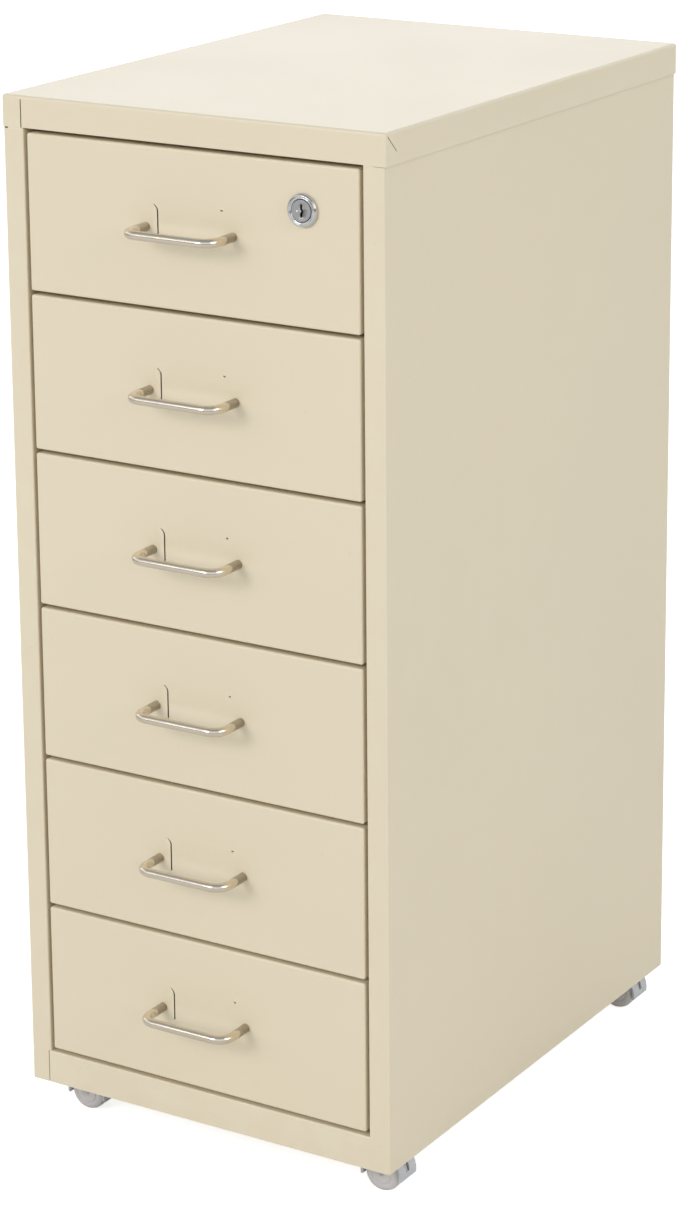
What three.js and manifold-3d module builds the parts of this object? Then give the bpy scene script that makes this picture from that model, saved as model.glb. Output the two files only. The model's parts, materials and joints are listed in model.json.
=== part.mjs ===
// A narrow sheet-steel cabinet with six drawers on four small swivel castors.
// Millimetres, +Z up, drawer fronts face -Y. The origin is on the floor, under the middle of the
// overall box, which runs from the handles at the front to the cover at the back.

import * as THREE from 'three';
import { mergeVertices } from 'three/addons/utils/BufferGeometryUtils.js';
import Module from 'manifold-3d';

const wasm = await Module();
wasm.setup();

// ---- driving dimensions ----

const cabinetWidth = 280;
const cabinetDepth = 380;
const cabinetHeight = 690;
const sheet = 0.8;
const bendRadius = 1.2;
const seat = 0.3; // gap kept between pieces that touch
const past = 1; // how far a cutting box runs past what it cuts

const coverFlange = 20.5;
const coverEdgeRadius = 2.5;
const coverReturnDepth = 14;
const coverLipHeight = 8;

const floorClearance = 24; // floor to the lower edge of the body
const stileWidth = 15;
const stileReturn = 12;
const backReturn = 13;
const railHeight = 22.5;
const skirtFlange = 15;

const drawerCount = 6;
const drawerGap = 2.5;
const frontDepth = 14;
const frontEdgeRadius = 1.6;

const trayTopGap = 12.9; // front's upper edge to the tray's rim
const trayLift = 10; // front's lower edge to the tray's underside
const trayBackGap = 22.7; // tray to the back panel
const trayHeldIn = 60; // length of tray that stays inside when the drawer is fully out
const trayFlange = 9;
const trayStileClearance = 3;

const runnerSheet = 1;
const runnerGap = 5; // inside height of the runner channel
const runnerGrip = 7; // how far the channel reaches over the tray flange
const runnerFrontSetback = 4; // from the tray's front wall to the runner's front end
const flangeClearance = 0.4;
const stopLip = 2.2;
const stopThickness = 4;
const lugMargin = 1; // tray's stop lug to either side of the runner's lip

const handleSpacing = 64;
const handleWire = 6;
const handleReach = 28;
const handleBend = 9;

const labelSlitFromMiddle = 22.5;
const labelSlitWidth = 0.8;
const labelSlitBottom = -7; // from the handle's height
const labelSlitTop = 13;
const labelTabFromMiddle = 23.5;
const labelTabHeight = 15.5;
const labelTabWidth = 1.8;

const lockFromSide = 57.5; // from the cabinet's right-hand edge
const lockFromTop = 51.5;
const lockPlugDiameter = 13.6;
const lockClearance = 0.3;
const lockWall = 1.9;
const lockHeadRim = 1.5; // how far the head stands out over the body all round
const lockHeadThickness = 2.8;
const lockHeadBevel = [1.2, 1.4]; // inwards and backwards
const lockMouthBevel = [0.9, 0.6];
const lockBodyBehindTray = 1.6;
const lockNutThickness = 3;
const lockNutWall = 2;
const plugRecess = 0.3;
const plugEdge = 0.4;
const plugTailDiameter = 7;
const plugTailBehindCam = 1;
const keySlotWidth = 1.6;
const keySlotHeight = 8.4;
const keySlotDepth = 1.6;
const camCatch = 5; // how far the locked cam reaches up behind the cover's lip
const camWidth = 12;
const camThickness = 2;
const camCorner = 2;

const castorSideMargin = 7; // from the base's side flange to the castor's plate
const castorFrontMargin = 1; // from the stile's hem
const castorRearMargin = 10; // from the base's back flange
const castorTrail = 6;
const wheelDiameter = 25;
const wheelWidth = 7.6;
const wheelEdge = 0.5;
const wheelDome = [[0, 3.6], [0.9, 1.8], [3.2, 0.6], [6.5, 0]]; // in from the rim and from the outer face
const wheelClearance = 0.8;
const webThickness = 3.4;
const cowlWall = 1.7;
const cowlOverhang = 0.4; // past the wheels' outer faces
const cowlDroop = 12; // degrees the cowl goes on below the axle at each end
const axleDiameter = 2.8;
const neckDiameter = 14;
const kingPinDiameter = 6;
const kingPinRoot = 2; // length of king pin below the plate
const plateThickness = 2;
const plateSize = 30;
const plateCornerRadius = 4;

const drawerPositions = Array.from({ length: drawerCount }, (_, index) => index);

// ---- places worked out from them ----

const frontY = handleReach - (cabinetDepth + handleReach) / 2;
const backY = frontY + cabinetDepth;
const halfWidth = cabinetWidth / 2;
const coverBottomZ = cabinetHeight - coverFlange;

const panelOuterX = halfWidth - sheet - seat;
const panelInnerX = panelOuterX - sheet;
const panelBackY = backY - sheet - seat;
const panelTopZ = cabinetHeight - sheet - seat;
const stileInnerX = panelOuterX - stileWidth;
const stileBackY = frontY + stileReturn;

const openingBottomZ = floorClearance + railHeight;
const drawerFrontWidth = 2 * (stileInnerX - drawerGap);
const drawerFrontHeight = (coverBottomZ - openingBottomZ - (drawerCount + 1) * drawerGap) / drawerCount;
const drawerPitch = drawerFrontHeight + drawerGap;

const trayOuterX = stileInnerX - trayStileClearance;
const trayWallX = trayOuterX - trayFlange;
const trayFrontY = frontY + frontDepth + seat;
const backPanelFrontY = panelBackY - 2 * sheet - seat;
const trayBackY = backPanelFrontY - trayBackGap;
const drawerTravel = trayBackY - trayFrontY - trayHeldIn;

const runnerWebX = panelInnerX - seat;
const runnerTipX = trayOuterX - runnerGrip;
const runnerFrontY = trayFrontY + runnerFrontSetback;

const basePlateTopZ = openingBottomZ;
const basePlateBottomZ = basePlateTopZ - sheet;
const baseBackY = panelBackY - sheet - seat;
const baseFlangeX = panelInnerX - seat - sheet; // inner face of the base's side flanges
const castorPlateTopZ = basePlateBottomZ - seat;
const castorX = baseFlangeX - castorSideMargin - plateSize / 2;
const castorFrontY = stileBackY + castorFrontMargin + plateSize / 2;
const castorRearY = baseBackY - sheet - castorRearMargin - plateSize / 2;

const lockX = halfWidth - lockFromSide;
const lockZ = cabinetHeight - lockFromTop;
const lockBoreRadius = lockPlugDiameter / 2 + lockClearance;
const lockBodyRadius = lockBoreRadius + lockWall;
const lockHoleRadius = lockBodyRadius + lockClearance;
const lockHeadFrontY = frontY - seat - lockHeadThickness;
const lockBodyBackY = trayFrontY + sheet + lockBodyBehindTray;

// Each drawer's lower edge, counted from the top drawer.
function drawerBottomZ(index) {
  return coverBottomZ - (index + 1) * drawerPitch;
}

// ---- solid helpers ----

function toSolid(geometry) {
  const bare = geometry.clone();
  bare.deleteAttribute('normal');
  bare.deleteAttribute('uv');
  const merged = mergeVertices(bare, 1e-4);
  return new wasm.Manifold(new wasm.Mesh({
    numProp: 3,
    vertProperties: Float32Array.from(merged.attributes.position.array),
    triVerts: Uint32Array.from(merged.index.array),
  }));
}

function toGeometry(solid) {
  const mesh = solid.getMesh();
  const geometry = new THREE.BufferGeometry();
  geometry.setAttribute('position', new THREE.BufferAttribute(Float32Array.from(mesh.vertProperties), 3));
  geometry.setIndex(new THREE.BufferAttribute(Uint32Array.from(mesh.triVerts), 1));
  return geometry;
}

function join(...geometries) {
  const solids = geometries.map(toSolid);
  return toGeometry(solids.reduce((whole, solid) => whole.add(solid)));
}

function cut(base, ...tools) {
  const solids = [base, ...tools].map(toSolid);
  return toGeometry(solids.reduce((whole, solid) => whole.subtract(solid)));
}

// A box from its limits. Corners take the limits themselves, so that neighbouring boxes share exact planes.
function box([x0, x1], [y0, y1], [z0, z1]) {
  const geometry = new THREE.BoxGeometry();
  const corner = geometry.attributes.position;
  for (let i = 0; i < corner.count; i += 1) {
    corner.setX(i, corner.getX(i) < 0 ? x0 : x1);
    corner.setY(i, corner.getY(i) < 0 ? y0 : y1);
    corner.setZ(i, corner.getZ(i) < 0 ? z0 : z1);
  }
  return geometry;
}

// A shape drawn in (x, y), raised from one height to another.
function extrudeUp(shape, z0, z1, curveSegments = 12) {
  const geometry = new THREE.ExtrudeGeometry(shape, { depth: 1, bevelEnabled: false, curveSegments });
  const corner = geometry.attributes.position;
  for (let i = 0; i < corner.count; i += 1) {
    corner.setZ(i, corner.getZ(i) < 0.5 ? z0 : z1);
  }
  return geometry;
}

// A shape drawn in (x, z), carried from one depth to another.
function extrudeBack(shape, y0, y1, curveSegments = 12) {
  const geometry = extrudeUp(shape, -y1, -y0, curveSegments);
  return geometry.rotateX(Math.PI / 2);
}

function diskShape(radius, centreX = 0, centreY = 0) {
  const shape = new THREE.Shape();
  shape.absarc(centreX, centreY, radius, 0, 2 * Math.PI);
  return shape;
}

function roundedRectangle(width, height, radius) {
  const x = width / 2 - radius;
  const y = height / 2 - radius;
  const shape = new THREE.Shape();
  shape.absarc(x, y, radius, 0, Math.PI / 2);
  shape.absarc(-x, y, radius, Math.PI / 2, Math.PI);
  shape.absarc(-x, -y, radius, Math.PI, 1.5 * Math.PI);
  shape.absarc(x, -y, radius, 1.5 * Math.PI, 2 * Math.PI);
  return shape;
}

// A plate centred on the origin with its visible face up at z = 0 and rounded edges round that face.
function roundedPlate(width, height, thickness, cornerRadius, edgeRadius) {
  const outline = roundedRectangle(width - 2 * edgeRadius, height - 2 * edgeRadius, cornerRadius);
  const geometry = new THREE.ExtrudeGeometry(outline, {
    depth: thickness,
    bevelThickness: edgeRadius,
    bevelSize: edgeRadius,
    bevelSegments: 2,
    curveSegments: 2,
  });
  geometry.translate(0, 0, -thickness - edgeRadius);
  const far = width + height;
  return cut(geometry, box([-far, far], [-far, far], [-far, -thickness]));
}

// Rounds the corners of a sheet's centre line.
function bentLine(corners, radius, steps = 3) {
  const points = corners.map(([x, y]) => new THREE.Vector2(x, y));
  const line = [points[0]];
  for (let i = 1; i < points.length - 1; i += 1) {
    const toLast = points[i - 1].clone().sub(points[i]).normalize();
    const toNext = points[i + 1].clone().sub(points[i]).normalize();
    const halfAngle = Math.acos(toLast.dot(toNext)) / 2;
    const centre = toLast.clone().add(toNext).setLength(radius / Math.sin(halfAngle)).add(points[i]);
    const start = toLast.clone().multiplyScalar(radius / Math.tan(halfAngle)).add(points[i]).sub(centre);
    const turn = Math.sign(toNext.cross(toLast)) * (Math.PI - 2 * halfAngle);
    for (let step = 0; step <= steps; step += 1) {
      line.push(start.clone().rotateAround(new THREE.Vector2(), turn * step / steps).add(centre));
    }
  }
  line.push(points.at(-1));
  return line;
}

// The section of a bent sheet of constant thickness that follows a centre line.
function bentSheet(corners, thickness, radius = bendRadius) {
  const line = bentLine(corners, radius);
  const sides = [[], []];
  line.forEach((point, i) => {
    const into = point.clone().sub(line[Math.max(i - 1, 0)]).normalize();
    const out = line[Math.min(i + 1, line.length - 1)].clone().sub(point).normalize();
    const along = into.clone().add(out).normalize();
    const mitre = i === 0 || i === line.length - 1 ? 1 : 1 / along.dot(out);
    const normal = new THREE.Vector2(-along.y, along.x).multiplyScalar(mitre * thickness / 2);
    sides[0].push(point.clone().add(normal));
    sides[1].unshift(point.clone().sub(normal));
  });
  return new THREE.Shape([...sides[0], ...sides[1]]);
}

// ---- finishes ----

const finishes = {
  paint: new THREE.MeshStandardMaterial({ color: 0xe0d5bb, roughness: 0.45, metalness: 0 }),
  trayPaint: new THREE.MeshStandardMaterial({ color: 0xd8ceb6, roughness: 0.5, metalness: 0 }),
  zinc: new THREE.MeshStandardMaterial({ color: 0xb9bcc0, roughness: 0.4, metalness: 0.8 }),
  satinNickel: new THREE.MeshStandardMaterial({ color: 0xc9c2b6, roughness: 0.28, metalness: 1 }),
  chrome: new THREE.MeshStandardMaterial({ color: 0xd0d0d2, roughness: 0.12, metalness: 1 }),
  hoodPlastic: new THREE.MeshStandardMaterial({ color: 0xb4b6b8, roughness: 0.35, metalness: 0.1 }),
  wheelPlastic: new THREE.MeshStandardMaterial({ color: 0x9d9596, roughness: 0.4, metalness: 0 }),
};

const cabinet = new THREE.Group();

function addPart(name, geometry, finish, parent = cabinet) {
  const mesh = new THREE.Mesh(geometry, finishes[finish].clone());
  mesh.name = name;
  parent.add(mesh);
  return mesh;
}

// ---- cabinet body ----

// Top pan with a flange all round. The front flange returns under itself and ends in the lock's catch lip.
function topCover() {
  const outside = roundedPlate(cabinetWidth, cabinetDepth, coverFlange, coverEdgeRadius, coverEdgeRadius);
  outside.translate(0, (frontY + backY) / 2, cabinetHeight);
  const insideX = halfWidth - sheet;
  const lipX = stileInnerX - seat;
  const insideY = [frontY + sheet, backY - sheet];
  const returnY = [frontY + sheet, frontY + coverReturnDepth];
  const lipY = [frontY + coverReturnDepth - sheet, frontY + coverReturnDepth];
  const insideTopZ = cabinetHeight - sheet;
  return cut(
    outside,
    box([-insideX, insideX], [lipY[1], insideY[1]], [coverBottomZ - past, insideTopZ]),
    box([-insideX, insideX], insideY, [coverBottomZ + coverLipHeight, insideTopZ]),
    box([-insideX, insideX], [returnY[0], lipY[0]], [coverBottomZ + sheet, insideTopZ]),
    box([-insideX, -lipX], returnY, [coverBottomZ - past, insideTopZ]),
    box([lipX, insideX], returnY, [coverBottomZ - past, insideTopZ]),
  );
}

// Side sheet bent round into the front stile, with a hem inside it and a flange at the back.
function sidePanel(side) {
  const half = sheet / 2;
  const corners = [
    [stileInnerX + half, stileBackY],
    [stileInnerX + half, frontY + half],
    [panelOuterX - half, frontY + half],
    [panelOuterX - half, panelBackY - half],
    [panelOuterX - backReturn, panelBackY - half],
  ].map(([x, y]) => [side * x, y]);
  const body = extrudeUp(bentSheet(corners, sheet), floorClearance, panelTopZ);
  const notchZ = [coverBottomZ - 2 * seat, cabinetHeight];
  const hemNotchX = [side * (stileInnerX - past), side * (panelInnerX - seat)].sort((a, b) => a - b);
  const faceNotchX = [side * stileInnerX, side * (halfWidth + past)].sort((a, b) => a - b);
  return cut(
    body,
    box(hemNotchX, [frontY - past, stileBackY + seat], notchZ),
    box(faceNotchX, [frontY - past, frontY + sheet + seat], notchZ),
  );
}

function backPanel() {
  const x = panelInnerX - 2 * seat;
  return box([-x, x], [backPanelFrontY, backPanelFrontY + sheet], [basePlateTopZ + seat, panelTopZ]);
}

// Floor of the cabinet. Its front turns down as the visible rail, its other edges as stiffening flanges.
function basePanel() {
  const wideX = panelInnerX - seat;
  const railX = stileInnerX - 2 * seat;
  const tongueBackY = stileBackY + 2 * seat;
  const outline = new THREE.Shape();
  outline.moveTo(-railX, frontY);
  outline.lineTo(railX, frontY);
  outline.lineTo(railX, tongueBackY);
  outline.lineTo(wideX, tongueBackY);
  outline.lineTo(wideX, baseBackY);
  outline.lineTo(-wideX, baseBackY);
  outline.lineTo(-wideX, tongueBackY);
  outline.lineTo(-railX, tongueBackY);
  const underside = [floorClearance - past, basePlateBottomZ];
  const belowFlanges = [floorClearance - past, basePlateTopZ - skirtFlange];
  return cut(
    extrudeUp(outline, floorClearance, basePlateTopZ),
    box([-baseFlangeX, baseFlangeX], [frontY + sheet, baseBackY - sheet], underside),
    box([-halfWidth, halfWidth], [tongueBackY - past, backY], belowFlanges),
  );
}

// Channel that carries one side of a tray. A lip at its front end catches the tray's stop.
function runner(side, flangeZ) {
  const half = runnerSheet / 2;
  const legBottomZ = flangeZ - flangeClearance - half;
  const legTopZ = legBottomZ + runnerGap + runnerSheet;
  const corners = [
    [runnerTipX, legBottomZ],
    [runnerWebX - half, legBottomZ],
    [runnerWebX - half, legTopZ],
    [runnerTipX, legTopZ],
  ].map(([x, z]) => [side * x, z]);
  const channel = extrudeBack(bentSheet(corners, runnerSheet), runnerFrontY, trayBackY);
  const lipX = [side * runnerTipX, side * trayOuterX].sort((a, b) => a - b);
  const lip = box(lipX, [runnerFrontY, runnerFrontY + stopThickness], [legTopZ - half - stopLip, legTopZ]);
  return join(channel, lip);
}

addPart('top_cover', topCover(), 'paint');
addPart('left_side_panel', sidePanel(-1), 'paint');
addPart('right_side_panel', sidePanel(1), 'paint');
addPart('back_panel', backPanel(), 'paint');
addPart('base_panel', basePanel(), 'paint');

// ---- drawers, each in a group at the lower edge of its front ----

const trayTopZ = drawerFrontHeight - trayTopGap;
const flangeUndersideZ = trayTopZ - sheet;
const handleZ = drawerFrontHeight / 2;

// Folded front. The card holder's slit and tab are pierced through it, and so is the lock's hole.
function drawerFront(lockHeight) {
  const size = [drawerFrontWidth, drawerFrontHeight, frontDepth];
  const plate = roundedPlate(...size, frontEdgeRadius, frontEdgeRadius);
  plate.rotateX(Math.PI / 2).translate(0, frontY, drawerFrontHeight / 2);
  const insideX = drawerFrontWidth / 2 - sheet;
  const insideY = [frontY + sheet, frontY + frontDepth + past];
  const pocket = box([-insideX, insideX], insideY, [sheet, drawerFrontHeight - sheet]);
  const through = [frontY - past, frontY + sheet + past];
  const slit = box(
    [-labelSlitFromMiddle - labelSlitWidth, -labelSlitFromMiddle],
    through,
    [handleZ + labelSlitBottom, handleZ + labelSlitTop],
  );
  const tab = box(
    [labelTabFromMiddle, labelTabFromMiddle + labelTabWidth],
    through,
    [handleZ + labelTabHeight, handleZ + labelTabHeight + labelSlitWidth],
  );
  const tools = [pocket, slit, tab];
  if (lockHeight !== null) {
    tools.push(extrudeBack(diskShape(lockHoleRadius, lockX, lockHeight), ...through));
  }
  return cut(plate, ...tools);
}

// Open tray with flanges turned out along both sides, which hang in the runners.
function drawerTray(lockHeight) {
  const half = sheet / 2;
  const wallX = trayWallX - half;
  const section = bentSheet([
    [-trayOuterX, trayTopZ - half],
    [-wallX, trayTopZ - half],
    [-wallX, trayLift + half],
    [wallX, trayLift + half],
    [wallX, trayTopZ - half],
    [trayOuterX, trayTopZ - half],
  ], sheet);
  const endX = [-wallX, wallX];
  const endZ = [trayLift + half, trayTopZ];
  const lugFrontY = runnerFrontY + stopThickness + drawerTravel + seat;
  const lugZ = [trayTopZ - half, trayTopZ + runnerGap - flangeClearance - sheet - flangeClearance];
  const lugs = [-1, 1].map((side) => {
    const x = [side * (runnerTipX + lugMargin), side * (trayOuterX - lugMargin)].sort((a, b) => a - b);
    return box(x, [lugFrontY, lugFrontY + stopThickness], lugZ);
  });
  const tray = join(
    extrudeBack(section, trayFrontY, trayBackY),
    box(endX, [trayFrontY, trayFrontY + sheet], endZ),
    box(endX, [trayBackY - sheet, trayBackY], endZ),
    ...lugs,
  );
  if (lockHeight === null) {
    return tray;
  }
  const hole = diskShape(lockHoleRadius, lockX, lockHeight);
  return cut(tray, extrudeBack(hole, trayFrontY - past, trayFrontY + sheet + past));
}

// Bent-wire pull with its two feet square to the front.
function drawerHandle() {
  const radius = handleWire / 2;
  const footY = frontY - seat;
  const barY = frontY - handleReach + radius;
  const footX = handleSpacing / 2;
  const at = (x, y) => new THREE.Vector3(x, y, handleZ);
  const leftLegEnd = at(-footX, barY + handleBend);
  const leftBarEnd = at(-footX + handleBend, barY);
  const rightBarEnd = at(footX - handleBend, barY);
  const rightLegEnd = at(footX, barY + handleBend);
  const path = new THREE.CurvePath();
  path.add(new THREE.LineCurve3(at(-footX, footY), leftLegEnd));
  path.add(new THREE.QuadraticBezierCurve3(leftLegEnd, at(-footX, barY), leftBarEnd));
  path.add(new THREE.LineCurve3(leftBarEnd, rightBarEnd));
  path.add(new THREE.QuadraticBezierCurve3(rightBarEnd, at(footX, barY), rightLegEnd));
  path.add(new THREE.LineCurve3(rightLegEnd, at(footX, footY)));
  return new THREE.ExtrudeGeometry(diskShape(radius), { extrudePath: path, steps: 22, curveSegments: 5 });
}

for (const index of drawerPositions) {
  const name = `drawer_${index + 1}`;
  const bottomZ = drawerBottomZ(index);
  const lockHeight = index === 0 ? lockZ - bottomZ : null;
  const drawer = new THREE.Group();
  drawer.position.z = bottomZ;
  cabinet.add(drawer);
  addPart(`${name}_front`, drawerFront(lockHeight), 'paint', drawer);
  addPart(`${name}_tray`, drawerTray(lockHeight), 'trayPaint', drawer);
  addPart(`${name}_handle`, drawerHandle(), 'satinNickel', drawer);
  for (const [sideName, side] of [['left', -1], ['right', 1]]) {
    const part = addPart(`${sideName}_runner_${index + 1}`, runner(side, flangeUndersideZ), 'zinc');
    part.position.z = bottomZ;
  }
}

// ---- cam lock in the top drawer, in a group on the lock's axis with +Y pointing into the drawer ----

const lockSides = 20;

// Turns a profile of [radius, depth] about the lock's axis, which runs along Y.
function turnedAlongY(profile, sides) {
  const points = profile.map(([radius, y]) => new THREE.Vector2(radius, y));
  return new THREE.LatheGeometry([...points, points[0].clone()], sides);
}

function lockHousing() {
  const headRadius = lockBodyRadius + lockHeadRim;
  return turnedAlongY([
    [lockBoreRadius, lockHeadFrontY + lockMouthBevel[1]],
    [lockBoreRadius + lockMouthBevel[0], lockHeadFrontY],
    [headRadius - lockHeadBevel[0], lockHeadFrontY],
    [headRadius, lockHeadFrontY + lockHeadBevel[1]],
    [headRadius, frontY - seat],
    [lockBodyRadius, frontY - seat],
    [lockBodyRadius, lockBodyBackY],
    [lockBoreRadius, lockBodyBackY],
  ], lockSides);
}

function lockPlug() {
  const radius = lockPlugDiameter / 2;
  const faceY = lockHeadFrontY + plugRecess;
  const tailY = lockBodyBackY + seat;
  const endY = tailY + camThickness + 2 * seat + plugTailBehindCam;
  const body = turnedAlongY([
    [0, faceY],
    [radius - plugEdge, faceY],
    [radius, faceY + plugEdge],
    [radius, tailY],
    [plugTailDiameter / 2, tailY],
    [plugTailDiameter / 2, endY],
    [0, endY],
  ], lockSides);
  const slot = box(
    [-keySlotWidth / 2, keySlotWidth / 2],
    [faceY - past, faceY + keySlotDepth],
    [-keySlotHeight / 2, keySlotHeight / 2],
  );
  return cut(body, slot);
}

// Flat arm that points towards the middle of the drawer when it is unlocked. Locked, it stands up
// behind the cover's lip.
function lockCam() {
  const y0 = lockBodyBackY + 2 * seat;
  const outline = new THREE.Shape();
  const radius = camWidth / 2;
  const tipX = lockZ - coverBottomZ - camCatch;
  outline.absarc(0, 0, radius, -Math.PI / 2, Math.PI / 2);
  outline.lineTo(tipX + camCorner, radius);
  outline.lineTo(tipX, radius - camCorner);
  outline.lineTo(tipX, camCorner - radius);
  outline.lineTo(tipX + camCorner, -radius);
  outline.holes.push(new THREE.Path().absarc(0, 0, plugTailDiameter / 2 + lockClearance, 0, 2 * Math.PI));
  return extrudeBack(outline, y0, y0 + camThickness, 8);
}

function lockNut() {
  const y0 = frontY + sheet + seat;
  const corner = 2 * (lockBodyRadius + lockNutWall) / Math.sqrt(3);
  const hexagon = new THREE.Shape();
  for (let i = 0; i < 6; i += 1) {
    const angle = i * Math.PI / 3;
    hexagon[i === 0 ? 'moveTo' : 'lineTo'](corner * Math.cos(angle), corner * Math.sin(angle));
  }
  hexagon.holes.push(new THREE.Path().absarc(0, 0, lockHoleRadius, 0, 2 * Math.PI));
  return extrudeBack(hexagon, y0, y0 + lockNutThickness, 10);
}

const lock = new THREE.Group();
lock.position.set(lockX, 0, lockZ);
cabinet.add(lock);
addPart('lock_housing', lockHousing(), 'chrome', lock);
addPart('lock_plug', lockPlug(), 'chrome', lock);
addPart('lock_cam', lockCam(), 'zinc', lock);
addPart('lock_nut', lockNut(), 'zinc', lock);

// ---- castors, each in a group on its swivel axis with the wheels trailing along +X ----

const wheelRadius = wheelDiameter / 2;
const wheelSides = 20;
const wheelInnerY = webThickness / 2 + seat;
const wheelOuterY = wheelInnerY + wheelWidth;
const cowlInnerRadius = wheelRadius + wheelClearance;
const cowlOuterRadius = cowlInnerRadius + cowlWall;
const cowlHalfWidth = wheelOuterY + cowlOverhang;

function circleAcross(radius, halfLength, curveSegments) {
  return extrudeBack(diskShape(radius, castorTrail, wheelRadius), -halfLength, halfLength, curveSegments);
}

// Cowl over both wheels, the web between them that carries the axle, and the neck and king pin above.
function castorHood() {
  const droop = THREE.MathUtils.degToRad(cowlDroop);
  const cowlOutline = new THREE.Shape();
  cowlOutline.absarc(castorTrail, wheelRadius, cowlOuterRadius, -droop, Math.PI + droop);
  const cowl = extrudeBack(cowlOutline, -cowlHalfWidth, cowlHalfWidth, 14);
  const plateBottomZ = castorPlateTopZ - plateThickness;
  const neck = extrudeUp(diskShape(neckDiameter / 2), wheelRadius, plateBottomZ - seat, 8);
  const kingPin = extrudeUp(diskShape(kingPinDiameter / 2), plateBottomZ - kingPinRoot, castorPlateTopZ, 6);
  const webOutline = new THREE.Shape();
  webOutline.absarc(castorTrail, wheelRadius, cowlInnerRadius + cowlWall / 2, 0, Math.PI);
  webOutline.absarc(castorTrail, wheelRadius, wheelRadius / 2, Math.PI, 2 * Math.PI);
  const web = extrudeBack(webOutline, -webThickness / 2, webThickness / 2, 12);
  const shell = cut(join(cowl, neck), circleAcross(cowlInnerRadius, cowlHalfWidth + past, 14));
  const bore = circleAcross(axleDiameter / 2 + seat, cowlHalfWidth + past, 5);
  return cut(join(shell, web, kingPin), bore);
}

function castorAxle() {
  return circleAcross(axleDiameter / 2, wheelOuterY, 5);
}

// Domed wheel. Its rim is faceted with one flat straight down, so that it stands on the floor.
function castorWheel(side) {
  const rim = wheelRadius / Math.cos(Math.PI / wheelSides);
  const bore = axleDiameter / 2 + seat;
  const profile = [
    [bore, wheelInnerY],
    [rim - wheelEdge, wheelInnerY],
    [rim, wheelInnerY + wheelEdge],
    ...wheelDome.map(([fromRim, fromFace]) => [rim - fromRim, wheelOuterY - fromFace]),
    [bore, wheelOuterY],
  ];
  const geometry = turnedAlongY(profile, wheelSides).rotateY(Math.PI / wheelSides);
  if (side < 0) {
    geometry.rotateZ(Math.PI);
  }
  return geometry.translate(castorTrail, 0, wheelRadius);
}

function castorPlate() {
  const outline = roundedRectangle(plateSize, plateSize, plateCornerRadius);
  outline.holes.push(new THREE.Path().absarc(0, 0, kingPinDiameter / 2 + seat, 0, 2 * Math.PI));
  return extrudeUp(outline, castorPlateTopZ - plateThickness, castorPlateTopZ, 4);
}

const castorPlaces = {
  front_left: [-castorX, castorFrontY],
  front_right: [castorX, castorFrontY],
  rear_left: [-castorX, castorRearY],
  rear_right: [castorX, castorRearY],
};

for (const [place, [x, y]] of Object.entries(castorPlaces)) {
  const castor = new THREE.Group();
  castor.position.set(x, y, 0);
  cabinet.add(castor);
  addPart(`${place}_castor_plate`, castorPlate(), 'zinc', castor);
  addPart(`${place}_castor_hood`, castorHood(), 'hoodPlastic', castor);
  addPart(`${place}_castor_axle`, castorAxle(), 'zinc', castor);
  addPart(`${place}_castor_left_wheel`, castorWheel(-1), 'wheelPlastic', castor);
  addPart(`${place}_castor_right_wheel`, castorWheel(1), 'wheelPlastic', castor);
}

export default cabinet;
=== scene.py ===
# A narrow cream cabinet in folded sheet steel: six drawers, wire pulls, a cam lock and four castors.
import json
import math

import bmesh
import bpy
from mathutils import Matrix, Vector


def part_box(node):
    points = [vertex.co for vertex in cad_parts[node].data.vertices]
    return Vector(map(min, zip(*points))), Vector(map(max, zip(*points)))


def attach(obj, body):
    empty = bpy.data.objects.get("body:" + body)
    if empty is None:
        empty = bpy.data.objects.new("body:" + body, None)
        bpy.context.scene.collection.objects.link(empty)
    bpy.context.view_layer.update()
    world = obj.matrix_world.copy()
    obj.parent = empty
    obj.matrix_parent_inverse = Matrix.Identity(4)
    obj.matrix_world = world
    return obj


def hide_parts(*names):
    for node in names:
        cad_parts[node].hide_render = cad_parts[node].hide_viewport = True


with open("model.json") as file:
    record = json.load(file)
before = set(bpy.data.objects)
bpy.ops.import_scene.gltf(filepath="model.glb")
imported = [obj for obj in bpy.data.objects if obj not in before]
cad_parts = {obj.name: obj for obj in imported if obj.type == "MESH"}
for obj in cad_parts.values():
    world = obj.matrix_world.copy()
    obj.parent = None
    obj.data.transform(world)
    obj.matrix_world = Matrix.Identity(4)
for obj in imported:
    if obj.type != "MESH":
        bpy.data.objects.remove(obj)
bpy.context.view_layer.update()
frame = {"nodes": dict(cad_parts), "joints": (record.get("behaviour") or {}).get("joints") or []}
scene = bpy.context.scene
drawerNumbers = (1, 2, 3, 4, 5, 6)
castorPlaces = ("front_left", "front_right", "rear_left", "rear_right")
print("frame loaded with", len(frame["nodes"]), "nodes")


def mm(size):
    return size / 1000


# Shader parts that several finishes share

def startGroup(name, inputs, outputs):
    group = bpy.data.node_groups.new(name, "ShaderNodeTree")
    for label, kind, value in inputs:
        group.interface.new_socket(label, in_out="INPUT", socket_type=kind).default_value = value
    for label, kind in outputs:
        group.interface.new_socket(label, in_out="OUTPUT", socket_type=kind)
    return group, group.nodes.new("NodeGroupInput"), group.nodes.new("NodeGroupOutput")


def noise(tree, coordinates, scale, detail=2.0, roughness=0.5):
    node = tree.nodes.new("ShaderNodeTexNoise")
    node.inputs["Detail"].default_value = detail
    node.inputs["Roughness"].default_value = roughness
    if isinstance(scale, (int, float)):
        node.inputs["Scale"].default_value = scale
    else:
        tree.links.new(scale, node.inputs["Scale"])
    tree.links.new(coordinates, node.inputs["Vector"])
    return node.outputs["Fac"]


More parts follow.
